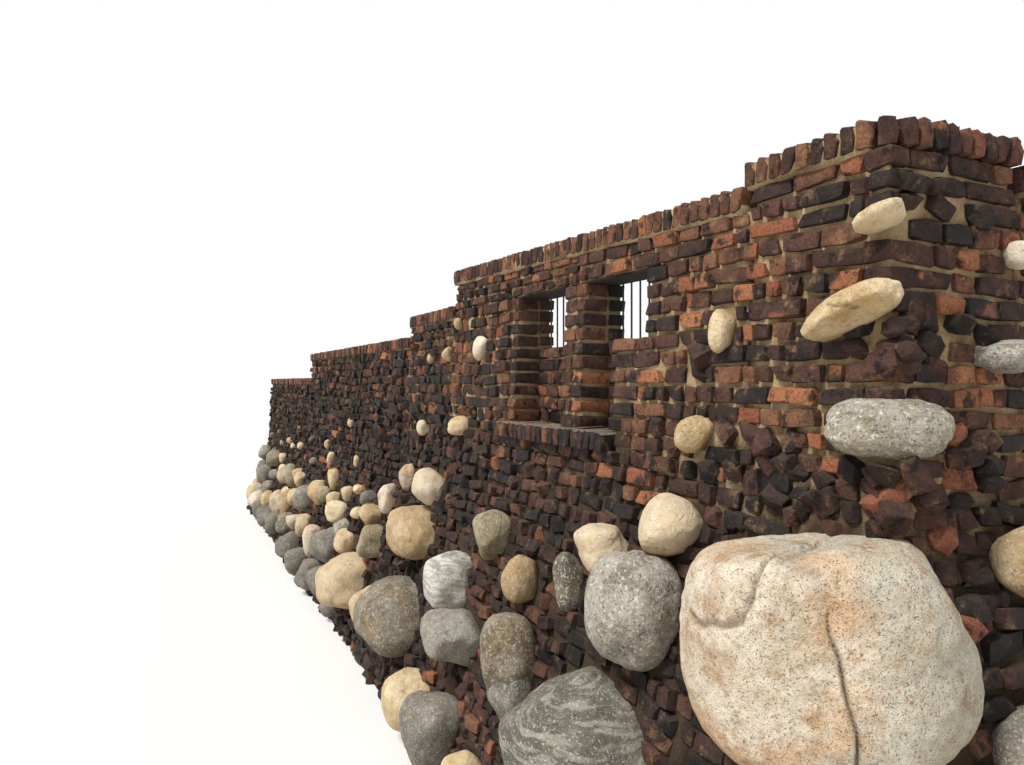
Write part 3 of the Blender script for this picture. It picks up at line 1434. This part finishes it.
        rules = (
            (self.faces.front, (5.6, 13.4), (0.5, 1.1), (0.1, 0.18), 24, 0.01),
            (self.faces.front, (7.4, 13.3), (1.05, 1.6), (0.045, 0.08), 12, 0.16),
            (self.faces.front, (0.1, 6.2), (0.12, 0.72), (0.15, 0.27), 26, 0.02),
            (self.faces.front, (6.0, 13.4), (0.1, 0.6), (0.09, 0.16), 22, 0.01),
            (self.faces.side, (0.3, 2.5), (0.15, 1.0), (0.12, 0.24), 12, 0.02),
            (self.faces.garden, (0.9, 13.3), (0.12, 1.2), (0.09, 0.18), 40, 0.05),
            (self.faces.garden_side, (0.9, 2.5), (0.12, 1.3), (0.09, 0.17), 7, 0.05),
        )
        for rule in rules:
            self._scatter(stones, dice, *rule)
        return stones

    def _scatter(
        self, stones: list[Stone], dice: Random, face: Face, along_range: Pair,
        height_range: Pair, sizes: Pair, count: int, gap: float,
    ) -> None:
        """Add cobbles to the given ones wherever they find room.

        Args:
            stones: The cobbles so far.
            dice: Where their places and sizes come from.
            face: The face that they lie on.
            along_range: The stretch of it that they lie in.
            height_range: Their lowest and highest middle.
            sizes: Their smallest and largest half size.
            count: How many there are to be.
            gap: How far they keep from each other.
        """
        k = StoneKind
        kinds, weights = (k.CREAM, k.GRANITE, k.TAN, k.GREY, k.SPECKLED, k.OLIVE), (2, 2, 5, 6, 2, 4)
        for _ in range(count * 6):
            if count <= 0:
                break
            along, height = dice.uniform(*along_range), dice.uniform(*height_range)
            half = sizes[1] - (sizes[1] - sizes[0]) * dice.random() ** 0.7
            half_up = half * dice.uniform(0.75, 1.15)
            too_high = face is self.faces.front and height > self.wall.base_top(along) + 0.3
            if height - half_up < 0.02 or too_high:
                continue
            middle, reach = face.point(along, height), max(half, half_up) + gap
            if any((s.middle - middle).length < max(s.half.x, s.half.z) + reach for s in self.named + stones):
                continue
            kind, name = dice.choices(kinds, weights)[0], f"cobble_{len(stones)}"
            stones.append(self._cobble(name, face, along, height, half, half_up, kind, dice))
            count -= 1

    @staticmethod
    def _cobble(
        name: str, face: Face, along: float, height: float, half_along: float, half_up: float,
        kind: StoneKind, dice: Random,
    ) -> Stone:
        """One cobble that stands a little out of a face."""
        half_out = half_along * 0.8 + 0.012
        middle = face.point(along, height, half_out * 0.3)
        detail = 4 if max(half_along, half_up) > 0.1 and along < 7 else 3
        return Stone(
            name, kind, middle, Vector((half_along, half_out, half_up)), face.heading,
            dice.uniform(-12, 12), 0.0, detail, dice.uniform(2.3, 2.9), dice.randint(5, 10), softness=0.045,
            taper=dice.uniform(-0.25, 0.25),
        )

    def build(self) -> None:
        """Make the stones' pieces."""
        for stone in self.named:
            mesh = bmesh.new()
            self.carver.carve(mesh, stone, self.CRACKS.get(stone.node, ()))
            self._finish(mesh, stone.name, stone.kind, [stone.node])
        for kind in StoneKind:
            group = [s for s in self.cobbles if s.kind is kind]
            if group:
                mesh = bmesh.new()
                for stone in group:
                    self.carver.carve(mesh, stone)
                self._finish(mesh, f"{kind.value.name}_cobbles", kind, [])

    def _finish(self, mesh: bmesh.types.BMesh, name: str, kind: StoneKind, nodes: list[str]) -> None:
        """Turn a carved mesh into a piece."""
        data = bpy.data.meshes.new(name)
        mesh.to_mesh(data)
        mesh.free()
        data.materials.append(self.palette.stones[kind])
        hand_over(show(data, name), kind.value.slot, nodes)


@dataclass
class Trades:
    """What every part of the wall is built with."""

    wall: Wall
    faces: Faces
    kit: BrickKit
    laying: Bricklaying
    palette: Palette
    stones: list[Stone]

    def mason(self, seed: int, plain: bool = False) -> Mason:
        """A mason with a seed of their own."""
        return Mason(self.wall, self.kit, self.stones, Random(seed), plain)

    def bricks(self, name: str, mason: Mason, slot: str = "masonry", nodes: Iterable[str] = ()) -> None:
        """Turn a mason's bricks into a piece."""
        hand_over(self.laying.lay(name, mason.bricks), slot, nodes)

    def mortar(self, name: str, core: MortarCore, nodes: Iterable[str]) -> None:
        """Turn a core into a piece that stands for its solids."""
        hand_over(core.finish(name, self.palette.mortar), "masonry", nodes)


class FusedClinker:
    """Lumps of bricks that the kiln fused together, set at odd angles round the corner."""

    FRONT = (
        (0.27, 2.03, 0.09, 0.06), (0.15, 1.97, 0.11, 0.045), (0.06, 2.09, 0.095, 0.04),
        (-0.01, 2.03, 0.075, 0.065), (0.31, 1.95, 0.045, 0.065), (0.09, 1.91, 0.125, 0.03),
        (-0.1, 2.1, 0.05, 0.05), (0.45, 2.13, 0.11, 0.095), (0.67, 2.2, 0.115, 0.03),
        (0.02, 2.55, 0.14, 0.065), (0.53, 1.75, 0.125, 0.035), (0.39, 1.95, 0.115, 0.035),
        (0.83, 2.02, 0.06, 0.05), (0.62, 2.03, 0.095, 0.045), (0.95, 2.47, 0.075, 0.06),
    )
    SIDE = (
        (-0.07, 2.07, 0.08, 0.06), (0.1, 2.5, 0.15, 0.065), (0.11, 2.61, 0.095, 0.045),
        (0.28, 2.57, 0.065, 0.035), (0.4, 2.58, 0.05, 0.035), (0.4, 2.98, 0.085, 0.045),
        (0.17, 3.01, 0.13, 0.06), (0.26, 2.11, 0.07, 0.145), (0.41, 2.12, 0.075, 0.115),
        (0.11, 2.03, 0.085, 0.07), (0.15, 1.61, 0.065, 0.11), (0.29, 1.71, 0.075, 0.075),
        (0.14, 1.86, 0.055, 0.045),
    )
    CELL = (0.12, 0.08)

    def __init__(self, faces: Faces, seed: int) -> None:
        """Place the lumps on the faces; the bricks' angles come from the seed."""
        sides = ((faces.front, self.FRONT), (faces.side, self.SIDE))
        self.lumps = [(face, *row) for face, rows in sides for row in rows]
        self.dice = Random(seed)

    def spaces(self) -> list[Stone]:
        """The places that the courses leave free for the lumps."""
        kind, deep = StoneKind.GREY, 0.06
        return [
            Stone("space", kind, face.point(along, height), Vector((wide, deep, tall)), face.heading)
            for face, along, height, wide, tall in self.lumps
        ]

    def build(self, laying: Bricklaying) -> None:
        """Set the broken bricks of every lump."""
        bricks = []
        for face, along, height, wide, tall in self.lumps:
            columns, rows = (max(round(2 * h / c), 1) for h, c in zip((wide, tall), self.CELL))
            for column, row in product(range(columns), range(rows)):
                distance = along + wide * ((2 * column + 1) / columns - 1)
                level = height + tall * ((2 * row + 1) / rows - 1)
                size = (2 * wide / columns, 2 * tall / rows)
                bricks.append(self._brick(laying.kit, face, distance, level, *size))
        hand_over(laying.lay("fused_clinker_bricks", bricks, wear=0.024, grain=18.0), "clinker_brick")

    def _brick(
        self, kit: BrickKit, face: Face, distance: float, level: float, length: float, tall: float
    ) -> Brick:
        """One broken brick of a lump."""
        dice = self.dice
        cut = dice.choice((Cut.LUMP, Cut.LUMP, Cut.HEADER, Cut.THREE_QUARTER))
        scale = kit.scale(cut, length * dice.uniform(0.85, 1.1), tall * dice.uniform(0.9, 1.2), 0.9)
        turn = (dice.gauss(0, 0.28), dice.gauss(0, 0.38), face.heading + dice.gauss(0, 0.28))
        distance, level = distance + dice.gauss(0, 0.008), level + dice.gauss(0, 0.008)
        middle = face.point(distance, level, dice.uniform(0.0, 0.036))
        tint, kiln = dice.uniform(0.1, 0.62), 0.8 if dice.random() < 0.14 else 0.1
        return Brick(middle, turn, scale, kit.pick(cut, dice), tint, kiln, dice.random() * 0.3)


@dataclass
class CornerPier:
    """The corner pier with its base: brick on its two outer and two inner faces."""

    trades: Trades

    def build(self) -> None:
        """Lay the bricks and cast the core."""
        wall, faces = self.trades.wall, self.trades.faces
        mason, inner = self.trades.mason(101), self.trades.mason(102, plain=True)
        head = (wall.window_head, wall.face_top, HEAD_COURSES)
        bands = (wall.lower_band, wall.niche_band, wall.window_band, head)
        parity = 1
        for band in bands:
            toothed = (False, band is not head)
            mason.band(faces.front, 0, wall.pier_width, *band, corner=parity, toothed=toothed)
            mason.band(faces.side, 0, wall.pier_depth, *band, corner=-parity, toothed=toothed)
            parity *= -1 if band[2] % 2 else 1
        for face, end in ((faces.pier_back, wall.pier_width), (faces.pier_side, wall.pier_depth)):
            inner.band(face, wall.thickness, end, 0, wall.face_top, sum(band[2] for band in bands))
        mason.bricks += inner.bricks
        self.trades.bricks("corner_pier_bricks", mason)
        core = MortarCore(wall).turning_block(wall.face_top)
        self.trades.mortar("corner_pier_mortar", core, ["corner_pier", "corner_pier_base"])


@dataclass
class WindowBay:
    """The bay with two barred windows over one sill."""

    trades: Trades
    head_split: float = 2.0
    jamb: float = 0.012
    window_deep: float = 1.45
    niche_deep: float = 1.85
    lap: float = 0.06
    side_lap: float = 0.05
    bed: float = 0.01

    def build(self) -> None:
        """Lay the bricks, the sill and the core."""
        wall, faces, bay = self.trades.wall, self.trades.faces, self.trades.wall.window_bay
        windows = ((wall.cheek[0], wall.window_pier[0]), wall.left_niche)
        niches = ((wall.cheek[1], wall.window_pier[0]), wall.left_niche)
        holes = [
            *self._openings(windows, wall.window_band, self.window_deep),
            *self._openings(niches, wall.niche_band, self.niche_deep),
            Hole(*wall.sill, wall.sill_foot, wall.sill_top),
        ]
        mason, garden = self.trades.mason(201), self.trades.mason(202, plain=True)
        for band in (wall.lower_band, wall.niche_band, wall.window_band):
            mason.band(faces.front, bay.start, bay.end, *band, holes, toothed=(True, True))
        mason.band(faces.front, bay.start, self.head_split, wall.window_head, bay.top, 2)
        mason.band(faces.front, self.head_split, bay.end, wall.window_head, bay.top, 3)
        for niche in niches:
            mason.band(faces.niche, *niche, *wall.niche_band)
        step = Faces.looking_down_wall(wall, bay.end)
        foot = wall.step_bay.near_top + wall.coping_height
        mason.band(step, 0, wall.thickness, foot, bay.far_top, 2)
        self.trades.bricks("window_bay_bricks", mason)
        for band in (
            (0, wall.window_foot, LOWER_COURSES + NICHE_COURSES),
            (*wall.window_band, self._openings(windows, wall.window_band)), (wall.window_head, bay.top, 2),
        ):
            garden.band(faces.garden, bay.start, bay.end, *band)
        self.trades.bricks("window_bay_garden_bricks", garden)
        self._core(*windows)
        self._sill()

    @staticmethod
    def _openings(spans: Iterable[Pair], band: Band, deep: float = 1.0) -> list[Hole]:
        """Holes between the joints of some stretches of a band."""
        return [Hole(start + JOINT / 2, end - JOINT / 2, *band[:2], deep) for start, end in spans]

    def _core(self, right: Pair, left: Pair) -> None:
        """Cast the mortar behind the bricks and round the openings."""
        wall, front, niche = self.trades.wall, self.trades.faces.front, self.trades.faces.niche
        bay, shy, lap, side = wall.window_bay, self.jamb, self.lap, self.side_lap
        foot, top, head = wall.sill_top - lap, wall.window_foot - self.bed, wall.window_head
        core = MortarCore(wall)
        for face, start, end, low, high in (
            (front, bay.start, bay.end, 0, wall.sill_top - self.bed),
            (front, bay.start, right[0] - shy, foot, bay.top),
            (front, right[0] - side, wall.cheek[1] - shy, foot, top),
            (niche, wall.cheek[1] - lap, right[1] + lap, foot, top),
            (front, right[1] + shy, left[0] - shy, foot, head + 0.05),
            (niche, left[0] - lap, left[1] + lap, foot, top),
            (front, left[1] + shy, bay.end, foot, bay.top),
            (front, right[0] - side, left[1] + side, head + 0.006, bay.top),
        ):
            core.block(face, start, end, low, high, wall.thickness)
        self.trades.mortar("window_bay_mortar", core, [
            "window_bay_right_wall", "window_bay_left_wall", "window_bay_lower_wall", "window_head_wall",
            "window_pier", "right_niche_cheek", "right_niche_panel", "left_niche_panel", "window_bay_base",
        ])

    def _sill(self) -> None:
        """Lay the sill's bricks on edge."""
        low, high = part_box("window_sill")
        mason, heading = self.trades.mason(203), self.trades.faces.front.heading
        start, end = (Vector((x, low.y + 0.006, low.z)) for x in (high.x, low.x))
        mason.edge_row(start, end, heading, high.y - low.y, high.z - low.z, dust=0.9, dark=0.5)
        self.trades.bricks("window_sill_bricks", mason, "clinker_brick", ["window_sill"])


@dataclass
class PlainBay:
    """A bay of the front without openings, over which the next one steps down."""

    trades: Trades
    bay: Bay
    seed: int
    bands: tuple[Band, ...]
    last: bool = False

    def build(self) -> None:
        """Lay the bricks and cast the core."""
        wall, faces, bay = self.trades.wall, self.trades.faces, self.bay
        mason, garden = self.trades.mason(self.seed), self.trades.mason(self.seed + 1, plain=True)
        for band in self.bands:
            mason.band(faces.front, bay.start, bay.end, *band, toothed=(True, not self.last))
        down = Faces.looking_down_wall(wall, bay.end)
        if self.last:
            down = replace(down, reach=lambda height: wall.lean(bay.end, height))
            for band in self.bands:
                mason.band(down, -END_LAP, wall.thickness, *band)
        else:
            foot = wall.bays[wall.bays.index(bay) + 1].near_top + wall.coping_height
            courses = max(round((bay.far_top - foot) / STEP_COURSE), 1)
            mason.band(down, 0, wall.thickness, foot, bay.far_top, courses)
        self.trades.bricks(f"{bay.name}_bricks", mason)
        for band in self.bands:
            garden.band(faces.garden, bay.start, bay.end, *band)
        self.trades.bricks(f"{bay.name}_garden_bricks", garden)
        end = bay.end - (RECESS if self.last else 0)
        core = MortarCore(wall).block(faces.front, bay.start - CORE_LAP, end, 0, bay.top, wall.thickness)
        self.trades.mortar(f"{bay.name}_mortar", core, [f"{bay.name}_wall", f"{bay.name}_base"])


@dataclass
class ReturnWall:
    """The short wall behind the corner pier."""

    trades: Trades
    bands: tuple[Band, ...]

    def build(self) -> None:
        """Lay the bricks and cast the core."""
        wall, faces = self.trades.wall, self.trades.faces
        start, end = wall.pier_depth, wall.return_end
        mason, garden = self.trades.mason(701), self.trades.mason(702, plain=True)
        for band in self.bands:
            mason.band(faces.side, start, end, *band, toothed=(True, False))
            mason.band(faces.return_end, -END_LAP, wall.thickness, *band)
            garden.band(faces.garden_side, start, end, *band)
        self.trades.bricks("return_bricks", mason)
        self.trades.bricks("return_garden_bricks", garden)
        core = MortarCore(wall)
        core.block(faces.side, start - CORE_LAP, end - RECESS, 0, wall.return_top, wall.thickness)
        self.trades.mortar("return_mortar", core, ["return_wall", "return_base"])


@dataclass
class Copings:
    """The rows of bricks on edge along the wall's top, over a bed of mortar."""

    trades: Trades
    gap: float = 0.01
    bed_shy: float = 0.014
    front_row: float = 0.205
    fan_bricks: int = 3
    fan_radius: float = 0.147

    def build(self) -> None:
        """Lay every coping."""
        wall, faces = self.trades.wall, self.trades.faces
        self._pier()
        for number, bay in enumerate(wall.bays[1:]):
            start = bay.start + (OVERHANG if bay is wall.window_bay else 0.0)
            out = wall.lean(bay.start, bay.near_top) + OVERHANG
            self._run(bay.name, 301 + number, faces.front, start, bay.end + OVERHANG, bay.top, out)
        start, end = wall.pier_depth + OVERHANG, wall.return_end + OVERHANG
        out = wall.lean(0, wall.return_top) + OVERHANG
        self._run("return", 311, faces.side, start, end, wall.return_top, out)

    def _run(
        self, name: str, seed: int, face: Face, start: float, end: float, under: Level, out: float
    ) -> None:
        """The coping of one bay or of the return."""
        mason, back = self.trades.mason(seed), self.trades.wall.thickness + OVERHANG
        self._rows(mason, face, start, end, under, out, back, self.front_row)
        self._finish(name, mason, self._bed(face, start, end, under, out, back))

    def _rows(
        self, mason: Mason, face: Face, start: float, end: float, under: Level, out: float,
        back: float, first_row: float = 0.0, rows: int = 2, mitre: bool = False,
    ) -> None:
        """Lay rows of bricks on edge side by side.

        Args:
            mason: Who lays them.
            face: The face that they follow.
            start: Where they start along it.
            end: Where they end.
            under: The height under them, or that at a distance along the face.
            out: How far in front of the face's origin the first row begins.
            back: How far behind it the last row ends.
            first_row: The length of the first row's bricks, or 0 for rows of one length.
            rows: How many rows there are.
            mitre: Whether the first bricks are cut short for the row round the corner.
        """
        length = (out + back - self.gap * (rows - 1)) / rows
        lengths = [first_row, out + back - self.gap - first_row] if first_row else [length] * rows
        for row, length in enumerate(lengths):
            edge = face.outward * (out - sum(lengths[:row]) - row * self.gap)
            first, last = (
                face.origin + face.along * (face.sense * distance) + edge + UP * as_height(under)(distance)
                for distance in (start, end)
            )
            mason.edge_row(first, last, face.heading, length, self.trades.wall.coping_height, mitre=mitre)

    def _finish(self, name: str, mason: Mason, core: MortarCore) -> None:
        """Turn a coping's bricks and its bed into pieces."""
        bricks = self.trades.laying.lay(f"{name}_coping_bricks", mason.bricks, wear=0.008)
        hand_over(bricks, "clinker_brick", [f"{name}_coping"])
        hand_over(core.finish(f"{name}_coping_bed", self.trades.palette.mortar), "masonry")

    def _bed(
        self, face: Face, start: float, end: float, under: Level, out: float, back: float
    ) -> MortarCore:
        """The mortar between the bricks on edge."""
        level = replace(face, lean=lambda distance, height: out)
        foot, shy = as_height(under), self.bed_shy
        depth = self.trades.wall.coping_height - shy
        low, high = (lambda distance: foot(distance) - 0.012), (lambda distance: foot(distance) + depth)
        return MortarCore(self.trades.wall).block(level, start + shy, end - shy, low, high, back - shy, shy)

    def _pier(self) -> None:
        """The pier's coping: a fan round the corner, a row along each outer face, and the middle."""
        wall, front, side = self.trades.wall, self.trades.faces.front, self.trades.faces.side
        mason = self.trades.mason(300)
        top, length, out = wall.face_top, self.front_row, OVERHANG
        bend = self.fan_radius - out
        wide, deep = wall.pier_width + out, wall.pier_depth + out
        for face, end in ((front, wide), (side, deep)):
            self._rows(mason, face, bend, end, top, out, length - out, rows=1, mitre=True)
        inner = length - out + self.gap
        self._rows(mason, front, inner, wide, top, -inner, deep)
        centre = wall.corner + Vector((-bend, bend, top))
        for number in range(self.fan_bricks):
            angle = pi / 2 * (number + 0.5) / self.fan_bricks
            way = Vector((sin(angle), -cos(angle), 0))
            across = Vector((cos(angle), sin(angle), 0)) * (EDGE_PITCH * 0.55)
            tip = centre + way * self.fan_radius
            mason.edge_row(tip - across, tip + across, angle, length * 0.5, wall.coping_height)
        self._finish("corner_pier", mason, self._bed(front, bend * 0.5, wide, top, out, deep))


@dataclass(frozen=True)
class WindowBars:
    """The upright iron bars in the two windows."""

    trades: Trades
    count: int = 6
    radius: float = 0.0055
    depth: float = 0.195
    pitch: float = 0.082
    far_gap: float = 0.0515
    sides: int = 10
    bite: float = 0.03

    def recipe(self) -> Recipe:
        """A tree that sets a row of upright rods along a line."""
        tree = Recipe("bar_row", {
            "Geometry": "Geometry", "Count": "Int", "Start": "Vector", "Step": "Vector", "Radius": "Float",
            "Length": "Float", "Sides": "Int", "Finish": "Material",
        })
        add, given = tree.node, tree.given
        line = add("GeometryNodeMeshLine", {
            "Count": given["Count"], "Start Location": given["Start"], "Offset": given["Step"],
        })
        rod = add("GeometryNodeMeshCylinder", {
            "Vertices": given["Sides"], "Radius": given["Radius"], "Depth": given["Length"],
        })
        rods = {"Points": line.outputs[0], "Instance": rod.outputs[0]}
        rows = add("GeometryNodeInstanceOnPoints", rods)
        tree.close(add("GeometryNodeRealizeInstances", {0: rows.outputs[0]}).outputs[0])
        return tree

    def build(self) -> None:
        """Set the bars of both windows."""
        wall, iron, recipe = self.trades.wall, self.trades.palette.iron, self.recipe()
        length = wall.window_head - wall.window_foot + self.bite
        middle = (wall.window_head + wall.window_foot - self.bite) / 2
        for side, end in (("right", wall.window_pier[0]), ("left", wall.left_niche[1])):
            name = f"{side}_window_bars"
            first = wall.corner + Vector((self.far_gap - end, self.depth, middle))
            mesh = recipe.cook(piece_from(f"{name}_line", [], [], iron), {
                "Count": self.count, "Start": first, "Step": Vector((self.pitch, 0, 0)),
                "Radius": self.radius, "Length": length, "Sides": self.sides, "Finish": iron,
            })
            mesh.set_sharp_from_angle(angle=radians(50))
            hand_over(show(mesh, name), "iron")


@dataclass(frozen=True)
class Studio:
    """A pale floor, soft light and the camera."""

    camera_right: float = 1.74
    camera_out: float = 2.174
    camera_height: float = 2.4
    look: Pair = (-0.905, 0.4255)
    lens: float = 27.07
    floor_reach: float = 60.0
    sky_strength: float = 0.56
    sun_strength: float = 3.4
    sun_way: Triple = (-0.05, 0.58, -0.82)

    def build(self, corner: Vector) -> None:
        """Set up the stage round the masonry's corner."""
        bpy.context.scene.view_settings.view_transform = "Standard"
        self._floor()
        self._sky()
        self._sun()
        self._camera(corner)

    def _floor(self) -> None:
        """A white floor that keeps the shadow and fades into the background."""
        reach = self.floor_reach
        g = Graph("pale_floor")
        distance = g.add("VectorMath", {0: g.here}, "Value", operation="LENGTH")
        seen = g.add("LightPath", key="Is Camera Ray")
        fade = g.smooth(distance, 7.0, 22.0, (0.35, 1.0)) * seen
        rough = g.add("BsdfDiffuse", {"Color": (0.8, 0.8, 0.79, 1.0)})
        white = g.add("Emission", {"Color": WHITE})
        blend = g.add("MixShader", {0: fade, 1: rough, 2: white})
        g.node("ShaderNodeOutputMaterial", {"Surface": blend})
        corners = [(-reach, -reach, 0), (reach, -reach, 0), (reach, reach, 0), (-reach, reach, 0)]
        piece_from("floor", corners, [(0, 1, 2, 3)], g.material)

    def _sky(self) -> None:
        """An even sky that the camera sees as white."""
        world = bpy.data.worlds.new("studio")
        bpy.context.scene.world = world
        world.use_nodes = True
        sky = Nodes(world.node_tree)
        sky.tree.nodes.clear()
        tint = {"Color": (1.0, 0.985, 0.96, 1.0), "Strength": self.sky_strength}
        light = sky.node("ShaderNodeBackground", tint)
        white = sky.node("ShaderNodeBackground", {"Color": WHITE})
        seen = sky.node("ShaderNodeLightPath").outputs["Is Camera Ray"]
        blend = sky.node("ShaderNodeMixShader", {0: seen, 1: light.outputs[0], 2: white.outputs[0]})
        sky.node("ShaderNodeOutputWorld", {0: blend.outputs[0]})

    def _sun(self) -> None:
        """A broad soft sun from above the front."""
        lamp = bpy.data.lights.new("sun", "SUN")
        lamp.energy = self.sun_strength
        lamp.angle = radians(14)
        lamp.color = (1.0, 0.965, 0.91)
        sun = placed("sun", lamp)
        sun.rotation_euler = Vector(self.sun_way).to_track_quat("-Z", "Y").to_euler()

    def _camera(self, corner: Vector) -> None:
        """The camera at eye height in front of the corner, looking along the wall."""
        data = bpy.data.cameras.new("camera")
        data.lens = self.lens
        data.clip_end = 200
        camera = placed("camera", data)
        camera.location = corner + Vector((self.camera_right, -self.camera_out, self.camera_height))
        camera.rotation_euler = Vector((*self.look, 0)).to_track_quat("-Z", "Y").to_euler()
        bpy.context.scene.camera = camera


def dress_iron(palette: Palette) -> None:
    """Give the lintels, which stay as they are, their finish."""
    for name in ("right_window_lintel", "left_window_lintel"):
        node = bpy.data.objects[name]
        node.data.materials.clear()
        node.data.materials.append(palette.lintel)


def main() -> None:
    """Build the wall part by part."""
    logging.basicConfig(level=logging.INFO, format="%(name)s: %(message)s")
    noise.seed_set(RELIEF_SEED)
    wall = Wall()
    faces = Faces(wall)
    palette = Palette()
    stone_work = BoulderWork(wall, faces, palette)
    kit = BrickKit(5)
    laying = Bricklaying(kit, palette.brick)
    fused = FusedClinker(faces, 37)
    trades = Trades(wall, faces, kit, laying, palette, stone_work.named + stone_work.cobbles + fused.spaces())
    lower, niche, foot = wall.lower_band, wall.niche_band, wall.window_foot
    step, long, end = wall.step_bay, wall.long_bay, wall.end_bay
    for part in (
        CornerPier(trades),
        WindowBay(trades),
        PlainBay(trades, step, 401, (lower, niche, (foot, step.far_top, 4))),
        PlainBay(trades, long, 501, (lower, niche, (foot, long.far_top, 1))),
        PlainBay(trades, end, 601, (lower, (wall.sill_top, end.far_top, 3)), last=True),
        ReturnWall(trades, (lower, niche, wall.window_band, (wall.window_head, wall.return_top, 2))),
        Copings(trades),
        WindowBars(trades),
        stone_work,
    ):
        part.build()
    fused.build(laying)
    dress_iron(palette)
    for item in list(kit.collection.objects):
        bpy.data.objects.remove(item)
    Studio().build(wall.corner)


if __name__ == "__main__":
    main()
